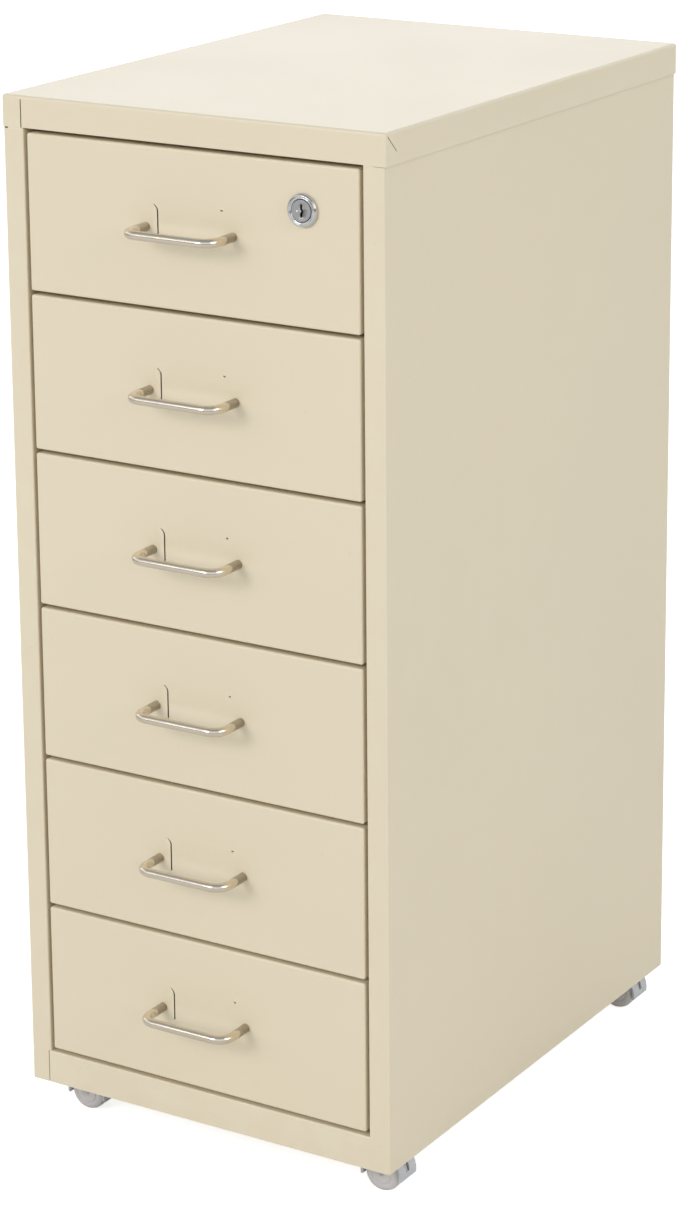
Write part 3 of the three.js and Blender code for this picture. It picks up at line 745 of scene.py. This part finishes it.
# Frames a square round the centre, drops it and bridges what is left to a circle
def cutRoundHole(bm, centre, radius, halfSquare, cuts=9):
    for offset in (-halfSquare, halfSquare):
        cutAcross(bm, flatFaces(bm, centre.y), centre + Vector((offset, 0, 0)), (1, 0, 0))
        cutAcross(bm, flatFaces(bm, centre.y), centre + Vector((0, 0, offset)), (0, 0, 1))
    square = [f for f in flatFaces(bm, centre.y)
              if abs(f.calc_center_median().x - centre.x) < halfSquare
              and abs(f.calc_center_median().z - centre.z) < halfSquare]
    around = {e for f in square for e in f.edges}
    dropFaces(bm, square)
    squareRim = [e for e in around if e.is_valid]
    pieces = bmesh.ops.subdivide_edges(bm, edges=squareRim, cuts=cuts)
    squareRim = list({e for e in pieces["geom_split"] if isinstance(e, bmesh.types.BMEdge)})
    hole = circleOutline(bm, centre, radius, 4 * (cuts + 1))
    bmesh.ops.bridge_loops(bm, edges=squareRim + hole)
    return hole


def circleOutline(bm, centre, radius, segments):
    facing = Matrix.Translation(centre) @ Matrix.Rotation(math.radians(90), 4, "X")
    made = bmesh.ops.create_circle(bm, cap_ends=False, segments=segments, radius=radius, matrix=facing)
    return list({e for v in made["verts"] for e in v.link_edges})


# Front pan with rounded edges and a pressed card holder with slit and tab. The top one has the lock's hole
def makeDrawerFront(number):
    look = frontLook
    low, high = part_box(f"drawer_{number}_front")
    middle = Vector((0, low.y, (low.z + high.z) / 2))
    bm = bmesh.new()
    blockBetween(bm, low, high)
    dropFaces(bm, facesTowards(bm, (0, 1, 0)))
    roundEdges(bm, [e for e in bm.edges if len(e.link_faces) == 2], look["edgeRadius"], 5)
    holder = look["holder"]
    for x in (holder["left"], holder["right"]):
        cutAcross(bm, flatFaces(bm, low.y), (x, 0, 0), (1, 0, 0))
    for z in (holder["bottom"], holder["top"]):
        cutAcross(bm, flatFaces(bm, low.y), (0, 0, middle.z + z), (0, 0, 1))
    plate = [f for f in flatFaces(bm, low.y)
             if holder["left"] < f.calc_center_median().x < holder["right"]
             and holder["bottom"] < f.calc_center_median().z - middle.z < holder["top"]]
    slopes = bmesh.ops.inset_region(bm, faces=plate, thickness=look["holderSlope"], depth=look["holderRise"],
                                    use_even_offset=True, use_boundary=True)["faces"]
    corners = [e for e in bm.edges if len(e.link_faces) == 2 and all(f in slopes for f in e.link_faces)]
    bmesh.ops.bevel(bm, geom=corners, offset=look["holderCorner"], offset_type="OFFSET", affect="EDGES",
                    segments=4, profile=0.5, material=-1)
    raised = middle - Vector((0, look["holderRise"], 0))
    cutRibbon(bm, raised, look["slitPath"], look["slitWidth"])
    cutRibbon(bm, raised, look["tabPath"], look["tabWidth"])
    if number == 1:
        lockLow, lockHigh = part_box("lock_housing")
        centre = (lockLow + lockHigh) / 2
        centre.y = low.y
        cutRoundHole(bm, centre, (lockHigh.z - lockLow.z) / 2 - look["lockLip"], look["lockSquare"])
    turnOutwards(bm, (0, -1, 0))
    giveThickness(bm, look["sheet"])
    addPiece(f"drawer{number}FrontSheet", bm, creamPaint, f"drawer_{number}",
             [f"drawer_{number}_front"])


trayLook = {
    "sheet": mm(0.8),
    "foldRadius": mm(1.4),
    "flange": mm(9),
    "lugLength": mm(4),
    "lugWidth": mm(5),
    "lugHeight": mm(3.4),
    "lugInset": mm(1),
    "lugSoft": mm(0.4),
    "flangeLift": mm(1.4),
    "stopGap": mm(0.3),
    "wallTuck": 0.6,  # share of the sheet by which the end walls reach into the folded one
    "lockHole": mm(9.2),
    "lockSquare": mm(11),
}


# Open tray hung by the flanges along its sides, with a stop lug on each
def makeDrawerTray(number):
    look = trayLook
    low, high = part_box(f"drawer_{number}_tray")
    sheet = look["sheet"]
    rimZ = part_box(f"left_runner_{number}")[0].z + look["flangeLift"] + sheet
    wallX = high.x - look["flange"] - sheet
    floorZ = low.z + sheet
    path = [(-high.x, low.y, rimZ), (-wallX, low.y, rimZ), (-wallX, low.y, floorZ),
            (wallX, low.y, floorZ), (wallX, low.y, rimZ), (high.x, low.y, rimZ)]
    bm = foldedSheet(path, (0, high.y - low.y, 0), look["foldRadius"], 0, (0, 0, 1))
    giveThickness(bm, sheet)
    wall = wallX + sheet * look["wallTuck"]
    for y, holed in ((low.y, number == 1), (high.y - sheet, False)):
        addInto(bm, endWall(wall, floorZ - sheet * look["wallTuck"], rimZ, y, sheet, holed))
    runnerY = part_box(f"left_runner_{number}")[0].y
    lugY = runnerY + runnerLook["lipLength"] + slideTravel(number) + look["stopGap"]
    for side in (-1, 1):
        lugOuter = high.x - look["lugInset"]
        x = sorted((side * lugOuter, side * (lugOuter - look["lugWidth"])))
        lug = bmesh.new()
        blockBetween(lug, Vector((x[0], lugY, rimZ - sheet / 2)),
                     Vector((x[1], lugY + look["lugLength"], rimZ + look["lugHeight"])))
        roundEdges(lug, lug.edges[:], look["lugSoft"], 2)
        addInto(bm, lug)
    addPiece(f"drawer{number}TraySheet", bm, trayPaint, f"drawer_{number}",
             [f"drawer_{number}_tray"])


def slideTravel(number):
    joint = next(j for j in frame["joints"] if j["name"] == f"drawer_{number}_slide")
    return joint["range_m"][1]


def endWall(x, z0, z1, y, sheet, holed):
    bm = bmesh.new()
    corners = wire(bm, [(-x, y, z0), (x, y, z0), (x, y, z1), (-x, y, z1)], True)
    bmesh.ops.contextual_create(bm, geom=corners)
    turnOutwards(bm, (0, -1, 0))
    if holed:
        lockLow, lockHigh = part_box("lock_housing")
        centre = (lockLow + lockHigh) / 2
        centre.y = y
        cutRoundHole(bm, centre, trayLook["lockHole"], trayLook["lockSquare"])
        turnOutwards(bm, (0, -1, 0))
    giveThickness(bm, sheet)
    return bm


runnerLook = {
    "sheet": mm(1.0),
    "foldRadius": mm(1.4),
    "lipLength": mm(4),
    "lipDrop": mm(2.7),
    "lipInset": mm(7),
    "lipSoft": mm(0.3),
}


# Channel that carries the tray's flange, with a lip at its front end that stops the lug
def makeRunner(sideName, side, number):
    look = runnerLook
    low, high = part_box(f"{sideName}_runner_{number}")
    web, tip = (high.x, low.x) if side > 0 else (low.x, high.x)
    path = [(tip, low.y, low.z), (web, low.y, low.z), (web, low.y, high.z), (tip, low.y, high.z)]
    bm = foldedSheet(path, (0, high.y - low.y, 0), look["foldRadius"], look["sheet"], (side, 0, 0))
    x = sorted((tip, tip + side * look["lipInset"]))
    lip = bmesh.new()
    blockBetween(lip, Vector((x[0], low.y, high.z - look["sheet"] / 2 - look["lipDrop"])),
                 Vector((x[1], low.y + look["lipLength"], high.z - look["sheet"] / 2)))
    roundEdges(lip, lip.edges[:], look["lipSoft"], 2)
    addInto(bm, lip)
    addPiece(f"{sideName}Runner{number}", bm, zincPlate, "cabinet",
             [f"{sideName}_runner_{number}"])


pullLook = {
    "bend": mm(9),
    "sides": 28,
    "bendSteps": 14,
    "sink": mm(0.1),
    "screwHead": mm(3.8),
    "screwRise": mm(2.2),
    "screwSoft": mm(0.25),
}


# Pull bent from one length of wire: two legs, two round bends and the bar between them
def makeDrawerPull(number):
    look = pullLook
    low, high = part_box(f"drawer_{number}_handle")
    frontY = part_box(f"drawer_{number}_front")[0].y
    radius = (high.z - low.z) / 2
    legX = high.x - radius
    barY = low.y + radius
    z = (low.z + high.z) / 2
    bm = bmesh.new()
    ring = circleOutline(bm, (-legX, frontY + look["sink"], z), radius, look["sides"])
    bmesh.ops.contextual_create(bm, geom=ring)
    ring = pull(bm, ring, (0, barY + look["bend"] - frontY - look["sink"], 0))
    for turn in (1, -1):
        centre = Vector((-turn * (legX - look["bend"]), barY + look["bend"], z))
        last = spinAbout(bm, ring, centre, (0, 0, 1), turn=90, steps=look["bendSteps"])
        ring = [item for item in last if isinstance(item, bmesh.types.BMEdge)]
        if turn == 1:
            ring = pull(bm, ring, (2 * (legX - look["bend"]), 0, 0))
    ring = pull(bm, ring, (0, frontY + look["sink"] - barY - look["bend"], 0))
    bmesh.ops.contextual_create(bm, geom=ring)
    addPiece(f"drawer{number}Pull", bm, nickelWire, f"drawer_{number}",
             [f"drawer_{number}_handle"])
    makePullScrews(number, legX, z)


# Pan-head screws on the inside of the tray's front wall
def makePullScrews(number, legX, z):
    look = pullLook
    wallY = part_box(f"drawer_{number}_tray")[0].y + trayLook["sheet"]
    bm = bmesh.new()
    head, rise = look["screwHead"], look["screwRise"]
    outline = ((0, 0), (head, 0), (head, rise * 0.55), (head * 0.62, rise), (head * 0.3, rise),
               (head * 0.18, rise * 0.45), (0, rise * 0.45))
    for side in (-1, 1):
        foot = Vector((side * legX, wallY - look["sink"], z))
        profile = roundedWire(bm, [foot + Vector((across, up, 0)) for across, up in outline],
                              look["screwSoft"], 3, False)
        spinAbout(bm, profile, foot, (0, 1, 0), steps=28)
    addPiece(f"drawer{number}PullScrews", bm, zincPlate, f"drawer_{number}")


for number in drawerNumbers:
    makeDrawerFront(number)
    makeDrawerTray(number)
    makeDrawerPull(number)
    for sideName, side in (("left", -1), ("right", 1)):
        makeRunner(sideName, side, number)
print("drawers, runners and pulls made")


lockLook = {
    "steps": 64,
    "lipRadius": mm(7.9),
    "grooveRadius": mm(8.3),
    "grooveDepth": mm(0.35),
    "keyholePath": [(-0.5, -4.0), (-0.5, -2.0), (0.35, -0.4), (-0.6, 1.1), (-0.6, 4.1)],
    "keyholeWidth": mm(1.5),
    "keyholeDepth": mm(4),
    "dimplePlace": (mm(-2.8), mm(0.3)),
    "dimpleRadius": mm(0.8),
    "dimpleDepth": mm(0.5),
    "dimpleSquare": 1.2,  # shares of the dimple's radius
    "dimpleTaper": 0.3,
    "plugEdge": mm(0.35),
    "tailRadius": mm(3.5),
    "tailLength": mm(5),
    "boreGap": mm(0.12),
    "bodyRadius": mm(9),
    "throat": (mm(0.5), mm(0.9), mm(0.35)),  # width of the slope, its depth at the bore and at the lip
    "lipDepth": mm(0.1),
    "grooveSlope": mm(0.35),
    "shoulder": (mm(1.1), mm(0.15)),  # in from the rim, back from the front
    "bezelEdge": (mm(0.25), mm(1.1)),
    "bezelFoot": mm(0.5),
    "bezelSoft": mm(0.12),
}


def aroundLock(radius, y):
    low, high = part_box("lock_housing")
    centre = (low + high) / 2
    return Vector((centre.x + radius, y, centre.z))


# Bright bezel with a rounded shoulder and a turned groove inside it, on the round body
def makeLockHousing():
    look = lockLook
    low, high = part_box("lock_housing")
    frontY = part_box("drawer_1_front")[0].y
    head = (high.z - low.z) / 2
    bore = (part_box("lock_plug")[1].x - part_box("lock_plug")[0].x) / 2 + look["boreGap"]
    body = look["bodyRadius"]
    slope, deepest, shallowest = look["throat"]
    groove = look["grooveRadius"]
    shoulderIn, shoulderBack = look["shoulder"]
    edgeIn, edgeBack = look["bezelEdge"]
    bm = bmesh.new()
    points = [(bore, low.y + deepest), (bore + slope, low.y + shallowest),
              (look["lipRadius"], low.y + look["lipDepth"]), (groove, low.y + look["grooveDepth"]),
              (groove + look["grooveSlope"], low.y), (head - shoulderIn, low.y + shoulderBack),
              (head - edgeIn, low.y + edgeBack), (head, frontY - look["bezelFoot"]),
              (head, frontY), (body, frontY), (body, high.y), (bore, high.y)]
    profile = roundedWire(bm, [aroundLock(radius, y) for radius, y in points], look["bezelSoft"], 3, True)
    spinAbout(bm, profile, aroundLock(0, 0), (0, 1, 0), steps=look["steps"])
    addPiece("lockBezelAndBody", bm, brightChrome, "drawer_1", ["lock_housing"])


# Round plug face with the broken line of its keyway and a punched dimple beside it
def makeLockPlug():
    look = lockLook
    low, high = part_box("lock_plug")
    radius = (high.z - low.z) / 2
    centre = aroundLock(0, low.y)
    bm = bmesh.new()
    rim = circleOutline(bm, centre, radius - look["plugEdge"], look["steps"])
    bmesh.ops.contextual_create(bm, geom=rim)
    turnOutwards(bm, (0, -1, 0))
    keyway = cutRibbon(bm, centre, look["keyholePath"], look["keyholeWidth"])
    point = centre + Vector((look["dimplePlace"][0], 0, look["dimplePlace"][1]))
    dimple = cutRoundHole(bm, point, look["dimpleRadius"], look["dimpleRadius"] * look["dimpleSquare"], 3)
    # The keyway's walls and floor take the near-black second finish: painted shade down the slot
    before = set(bm.faces)
    deep = pull(bm, keyway, (0, look["keyholeDepth"], 0))
    for face in set(bm.faces) - before:
        face.material_index = 1
    before = set(bm.faces)
    bmesh.ops.holes_fill(bm, edges=deep, sides=0)
    for face in set(bm.faces) - before:
        face.material_index = 1
    bottom = pull(bm, dimple, (0, look["dimpleDepth"], 0))
    bmesh.ops.scale(bm, vec=(look["dimpleTaper"], 1, look["dimpleTaper"]), space=Matrix.Translation(-point),
                    verts=list({v for e in bottom for v in e.verts}))
    bmesh.ops.contextual_create(bm, geom=bottom)
    edge, tail, tailLength = look["plugEdge"], look["tailRadius"], look["tailLength"]
    steps = [(radius - edge, radius, edge), (radius, radius, high.y - low.y - tailLength),
             (radius, tail, 0.0), (tail, tail, tailLength - edge)]
    ring = [e for e in bm.edges if len(e.link_faces) == 1]
    for fromRadius, toRadius, run in steps:
        ring = pull(bm, ring, (0, run, 0))
        grow = toRadius / fromRadius
        bmesh.ops.scale(bm, vec=(grow, 1, grow), space=Matrix.Translation(-centre),
                        verts=list({v for e in ring for v in e.verts}))
    bmesh.ops.contextual_create(bm, geom=ring)
    addPiece("lockPlugFace", bm, (castFace, keywayPaintedShade), "lock_barrel", ["lock_plug"])


makeLockHousing()
makeLockPlug()
print("lock made")


castorLook = {
    "cowlRadius": mm(15),
    "cowlWall": mm(1.7),
    "cowlHalfWidth": mm(10),
    "cowlDroop": 12,
    "slotHalfWidth": mm(2.1),
    "slotFrom": 4,
    "slotTo": 46,
    "ribHalf": mm(0.35),
    "ribSetBack": mm(0.9),
    "neckRadius": mm(7),
    "neckFillet": mm(2.2),
    "pinRadius": mm(3),
    "webHub": mm(4.6),
    "wheelSteps": 56,
    "axleSides": 28,
    "neckGap": mm(0.3),
    "neckReach": mm(6),
    "neckSink": mm(1),
    "filletDrop": mm(3),
    "filletTop": mm(2.4),
    "neckSoft": mm(0.4),
    "webFloor": 0.85,  # share of the hub's radius
    "bossHalf": mm(1.7),
    "wheelBore": mm(1.55),
    "wheelSoft": mm(0.12),
    "innerEdge": mm(0.5),
    "boreSink": mm(0.1),
    # millimetres in from the rim and back from the outer face
    "wheelFace": [(0, 3.4), (0.7, 1.7), (2.6, 0.55), (4.6, 0.35), (4.9, 0.75), (5.4, 0.75), (5.7, 0.2)],
    # radius in millimetres and back from the outer face
    "wheelHub": [(3.4, 0), (3.1, 0.5), (2.2, 0.5), (2.0, 0.1)],
}


def castorCentre(place):
    low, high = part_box(f"{place}_castor_axle")
    return (low + high) / 2


# Cowl over both wheels, open in a slot where the rib between the wheels shows, with its neck and king pin
def makeCastorHood(place):
    look = castorLook
    centre = castorCentre(place)
    low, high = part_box(f"{place}_castor_hood")
    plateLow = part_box(f"{place}_castor_plate")[0]
    swivel = (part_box(f"{place}_castor_plate")[0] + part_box(f"{place}_castor_plate")[1]) / 2
    half, slot = look["cowlHalfWidth"], look["slotHalfWidth"]
    start = Matrix.Rotation(math.radians(look["cowlDroop"]), 4, "Y")
    bm = bmesh.new()
    row = wire(bm, [centre + start @ Vector((look["cowlRadius"], y, 0)) for y in (-half, -slot, slot, half)])
    sweep = 180 + 2 * look["cowlDroop"]
    spinAbout(bm, row, centre, (0, -1, 0), turn=sweep, steps=34)

    def overSlot(face):
        at = face.calc_center_median() - centre
        turned = math.degrees(math.atan2(at.z, at.x))
        return abs(at.y) < slot and look["slotFrom"] < turned < look["slotTo"]

    dropFaces(bm, [f for f in bm.faces if overSlot(f)])
    turnOutwards(bm, (0, 0, 1))
    giveThickness(bm, look["cowlWall"])
    neckTop = plateLow.z - look["neckGap"]
    spread = look["neckRadius"] + look["neckReach"]
    neckFoot = centre.z + math.sqrt(look["cowlRadius"] ** 2 - spread ** 2) - look["neckSink"]
    reach, fillet = look["neckRadius"], look["neckFillet"]
    axis = Vector((swivel.x, swivel.y, 0))
    neck = bmesh.new()
    pin = look["pinRadius"]
    points = [(0, neckFoot), (reach, neckFoot), (reach, neckTop - look["filletDrop"]),
              (reach + fillet * 0.5, neckTop - look["filletTop"]), (reach + fillet * 0.5, neckTop),
              (pin, neckTop), (pin, high.z), (0, high.z)]
    profile = roundedWire(neck, [axis + Vector((radius, 0, z)) for radius, z in points],
                          look["neckSoft"], 3, False)
    spinAbout(neck, profile, axis, (0, 0, 1), steps=40)
    addInto(bm, neck)
    addPiece(f"{place}CastorHood", bm, hoodPlastic, f"{place}_castor",
             [f"{place}_castor_hood"], soft=mm(0.35))
    makeCastorRib(place, centre)


# Thin rib between the wheels, with the boss that carries the axle
def makeCastorRib(place, centre):
    look = castorLook
    radius = look["cowlRadius"] - look["ribSetBack"]
    bm = bmesh.new()
    disc = circleOutline(bm, centre + Vector((0, -look["ribHalf"], 0)), radius, 72)
    bmesh.ops.contextual_create(bm, geom=disc)
    floor = centre.z - look["webHub"] * look["webFloor"]
    whole = list(bm.verts) + list(bm.edges) + list(bm.faces)
    bmesh.ops.bisect_plane(bm, geom=whole, plane_co=(0, 0, floor), plane_no=(0, 0, -1),
                           clear_outer=True, dist=1e-7)
    turnOutwards(bm, (0, -1, 0))
    giveThickness(bm, 2 * look["ribHalf"])
    boss = bmesh.new()
    hub = circleOutline(boss, centre + Vector((0, -look["bossHalf"], 0)), look["webHub"], 40)
    bmesh.ops.contextual_create(boss, geom=hub)
    turnOutwards(boss, (0, -1, 0))
    giveThickness(boss, 2 * look["bossHalf"])
    addInto(bm, boss)
    addPiece(f"{place}CastorRib", bm, ribHighlightPlastic, f"{place}_castor", soft=mm(0.15))


# Domed wheel with a flat tread, a groove round its face and a small hub
def makeCastorWheel(place, sideName, side):
    look = castorLook
    centre = castorCentre(place)
    low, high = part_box(f"{place}_castor_{sideName}_wheel")
    inner, outer = (high.y, low.y) if side < 0 else (low.y, high.y)
    rim = centre.z
    bore = look["wheelBore"]
    bm = bmesh.new()
    points = [(bore, inner), (rim - look["innerEdge"], inner), (rim, inner + side * look["innerEdge"])]
    points += [(rim - mm(inwards), outer - side * mm(back)) for inwards, back in look["wheelFace"]]
    points += [(mm(radius), outer - side * mm(back)) for radius, back in look["wheelHub"]]
    points.append((bore, outer - side * look["boreSink"]))
    profile = roundedWire(bm, [Vector((centre.x + radius, y, centre.z)) for radius, y in points],
                          look["wheelSoft"], 2, True)
    spinAbout(bm, profile, centre, (0, 1, 0), steps=look["wheelSteps"])
    addPiece(f"{place}{sideName.capitalize()}Wheel", bm, wheelPlastic, f"{place}_castor_{sideName}_wheel",
             [f"{place}_castor_{sideName}_wheel"])


def makeCastorAxle(place):
    low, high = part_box(f"{place}_castor_axle")
    centre = (low + high) / 2
    bm = bmesh.new()
    ring = circleOutline(bm, (centre.x, low.y, centre.z), (high.z - low.z) / 2, castorLook["axleSides"])
    bmesh.ops.contextual_create(bm, geom=ring)
    ring = pull(bm, ring, (0, high.y - low.y, 0))
    bmesh.ops.contextual_create(bm, geom=ring)
    addPiece(f"{place}CastorAxle", bm, zincPlate, f"{place}_castor", [f"{place}_castor_axle"],
             soft=mm(0.2))


# The filler is steadier on large numbers, so the outlines are taken to millimetres for it and back again
fillScale = 1000


def fillFlat(bm, edges, normal):
    corners = list({v for e in edges for v in e.verts})
    bmesh.ops.scale(bm, vec=(fillScale,) * 3, verts=corners)
    bmesh.ops.triangle_fill(bm, use_beauty=True, use_dissolve=False, edges=edges, normal=normal)
    bmesh.ops.scale(bm, vec=(1 / fillScale,) * 3, verts=corners)


plateLook = {
    "corner": mm(4),
    "pinGap": mm(0.3),
    "rivetInset": mm(5),
    "rivetRadius": mm(2.4),
    "rivetRise": mm(1.1),
    "rivetSink": mm(0.1),
    "rivetSoft": mm(0.4),
}


# Fixed plate with rounded corners and a rivet near each of them
def makeCastorPlate(place):
    look = plateLook
    low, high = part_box(f"{place}_castor_plate")
    middle = (low + high) / 2
    bm = bmesh.new()
    corners = [(low.x, low.y, low.z), (high.x, low.y, low.z), (high.x, high.y, low.z), (low.x, high.y, low.z)]
    outline = roundedWire(bm, corners, look["corner"], 5, True)
    hole = bmesh.ops.create_circle(bm, cap_ends=False, segments=32,
                                   radius=castorLook["pinRadius"] + look["pinGap"],
                                   matrix=Matrix.Translation((middle.x, middle.y, low.z)))
    fillFlat(bm, outline + list({e for v in hole["verts"] for e in v.link_edges}), (0, 0, -1))
    turnOutwards(bm, (0, 0, -1))
    giveThickness(bm, high.z - low.z)
    radius, rise = look["rivetRadius"], look["rivetRise"] + look["rivetSink"]
    outline = ((0, 0), (radius, 0), (radius * 0.75, rise * 0.8), (0, rise))
    for cornerX in (low.x + look["rivetInset"], high.x - look["rivetInset"]):
        for cornerY in (low.y + look["rivetInset"], high.y - look["rivetInset"]):
            foot = Vector((cornerX, cornerY, low.z + look["rivetSink"]))
            rivet = bmesh.new()
            profile = roundedWire(rivet, [foot + Vector((across, 0, -down)) for across, down in outline],
                                  look["rivetSoft"], 3, False)
            spinAbout(rivet, profile, foot, (0, 0, 1), steps=20)
            addInto(bm, rivet)
    addPiece(f"{place}CastorPlate", bm, zincPlate, "cabinet", [f"{place}_castor_plate"],
             soft=mm(0.15))


for place in castorPlaces:
    makeCastorHood(place)
    makeCastorAxle(place)
    makeCastorPlate(place)
    for sideName, side in (("left", -1), ("right", 1)):
        makeCastorWheel(place, sideName, side)
print("castors made")

for node in ("lock_cam", "lock_nut"):
    part = frame["nodes"][node]
    part.data.materials.clear()
    part.data.materials.append(zincPlate)

stageLook = {
    "cameraPlace": (1.200, -1.937, 1.072),
    "cameraTurn": 31.83,
    "cameraTilt": 14.22,
    "cameraRoll": -0.5,
    "lens": 105.9,
    "shiftDown": -0.200,
    "floorSize": 30.0,
    "floorColour": (0.80, 0.80, 0.80),
    "floorGlow": 0.75,
    "backdropWay": (-0.54, 0.84, 0.0),
    "backdropLight": 0.85,
    "keyLight": 38.0,
    "sideLight": 21.0,
    "keyPlace": (-1.1, -3.5, 2.0),
    "keySize": (1.6, 1.2),
    "sidePlace": (3.0, -0.7, 2.0),
    "sideSize": (1.6, 1.6),
    "lampAim": (0, 0, 0.35),
    "skyFoot": -0.1,
    "skyStops": (
        (0.0, (0.06, 0.06, 0.06)), (0.15, (0.06, 0.06, 0.06)), (0.19, (1.10, 1.08, 1.05)),
        (0.50, (1.05, 1.05, 1.05)), (0.75, (0.42, 0.45, 0.50)), (1.0, (0.36, 0.40, 0.46)),
    ),
}


def makeCamera():
    look = stageLook
    lens = bpy.data.cameras.new("stageCamera")
    lens.lens = look["lens"]
    lens.sensor_width = 36
    lens.sensor_fit = "AUTO"
    lens.shift_y = look["shiftDown"]
    lens.clip_end = 100
    camera = bpy.data.objects.new("stageCamera", lens)
    turn = Matrix.Rotation(math.radians(look["cameraTurn"]), 4, "Z")
    tilt = Matrix.Rotation(math.radians(90 - look["cameraTilt"]), 4, "X")
    roll = Matrix.Rotation(math.radians(look["cameraRoll"]), 4, "Z")
    camera.matrix_world = Matrix.Translation(look["cameraPlace"]) @ turn @ tilt @ roll
    scene.collection.objects.link(camera)
    scene.camera = camera


def makeFloor():
    look = stageLook
    bm = bmesh.new()
    bmesh.ops.create_grid(bm, x_segments=1, y_segments=1, size=look["floorSize"] / 2)
    mesh = bpy.data.meshes.new("studioFloor")
    bm.to_mesh(mesh)
    bm.free()
    material, tree, shader = startMaterial("paleFloor")
    shader.inputs["Base Color"].default_value = (*look["floorColour"], 1)
    shader.inputs["Roughness"].default_value = 0.8
    shader.inputs["Specular IOR Level"].default_value = 0.0
    shader.inputs["Emission Color"].default_value = (1, 1, 1, 1)
    path = tree.nodes.new("ShaderNodeLightPath")
    glow = calculate(tree, "MULTIPLY", path.outputs["Is Camera Ray"], look["floorGlow"])
    tree.links.new(glow, shader.inputs["Emission Strength"])
    mesh.materials.append(material)
    floor = bpy.data.objects.new("studioFloor", mesh)
    scene.collection.objects.link(floor)


def makeLamp(name, place, size, power):
    lamp = bpy.data.lights.new(name, "AREA")
    lamp.shape = "RECTANGLE"
    lamp.size, lamp.size_y = size
    lamp.energy = power
    box = bpy.data.objects.new(name, lamp)
    aim = Vector(stageLook["lampAim"]) - Vector(place)
    box.matrix_world = Matrix.Translation(place) @ aim.to_track_quat("-Z", "Y").to_matrix().to_4x4()
    scene.collection.objects.link(box)


# White to the camera. As light: a cool ceiling, bright sides, a dark band at the horizon and a backdrop
def makeSky():
    look = stageLook
    world = bpy.data.worlds.new("studioSky")
    scene.world = world
    world.use_nodes = True
    tree = world.node_tree
    tree.nodes.clear()
    place = tree.nodes.new("ShaderNodeTexCoord")
    way = place.outputs["Generated"]
    parts = tree.nodes.new("ShaderNodeSeparateXYZ")
    tree.links.new(way, parts.inputs["Vector"])
    ramp = tree.nodes.new("ShaderNodeValToRGB")
    height = remap(tree, parts.outputs["Z"], look["skyFoot"], 1.0, 0.0, 1.0)
    tree.links.new(height, ramp.inputs["Fac"])
    for index, (at, colour) in enumerate(look["skyStops"]):
        stop = ramp.color_ramp.elements[index] if index < 2 else ramp.color_ramp.elements.new(at)
        stop.position = at
        stop.color = (*colour, 1)
    toward = tree.nodes.new("ShaderNodeVectorMath")
    toward.operation = "DOT_PRODUCT"
    tree.links.new(way, toward.inputs[0])
    toward.inputs[1].default_value = look["backdropWay"]
    behind = remap(tree, toward.outputs["Value"], 0.45, 0.9, 0.0, 1.0)
    lowDown = remap(tree, parts.outputs["Z"], 0.35, 0.65, 1.0, 0.0)
    glow = calculate(tree, "MULTIPLY", behind, lowDown)
    backdrop = calculate(tree, "MULTIPLY", glow, look["backdropLight"])
    dome = tree.nodes.new("ShaderNodeBackground")
    tree.links.new(ramp.outputs["Color"], dome.inputs["Color"])
    sheet = tree.nodes.new("ShaderNodeBackground")
    tree.links.new(backdrop, sheet.inputs["Strength"])
    both = tree.nodes.new("ShaderNodeAddShader")
    tree.links.new(dome.outputs[0], both.inputs[0])
    tree.links.new(sheet.outputs[0], both.inputs[1])
    plain = tree.nodes.new("ShaderNodeBackground")
    plain.inputs["Color"].default_value = (1, 1, 1, 1)
    path = tree.nodes.new("ShaderNodeLightPath")
    choose = tree.nodes.new("ShaderNodeMixShader")
    tree.links.new(path.outputs["Is Camera Ray"], choose.inputs[0])
    tree.links.new(both.outputs[0], choose.inputs[1])
    tree.links.new(plain.outputs[0], choose.inputs[2])
    out = tree.nodes.new("ShaderNodeOutputWorld")
    tree.links.new(choose.outputs[0], out.inputs["Surface"])


makeCamera()
makeFloor()
makeSky()
makeLamp("softKey", stageLook["keyPlace"], stageLook["keySize"], stageLook["keyLight"])
makeLamp("softSide", stageLook["sidePlace"], stageLook["sideSize"], stageLook["sideLight"])
scene.view_settings.view_transform = "Standard"
print("stage set")

bpy.context.view_layer.update()
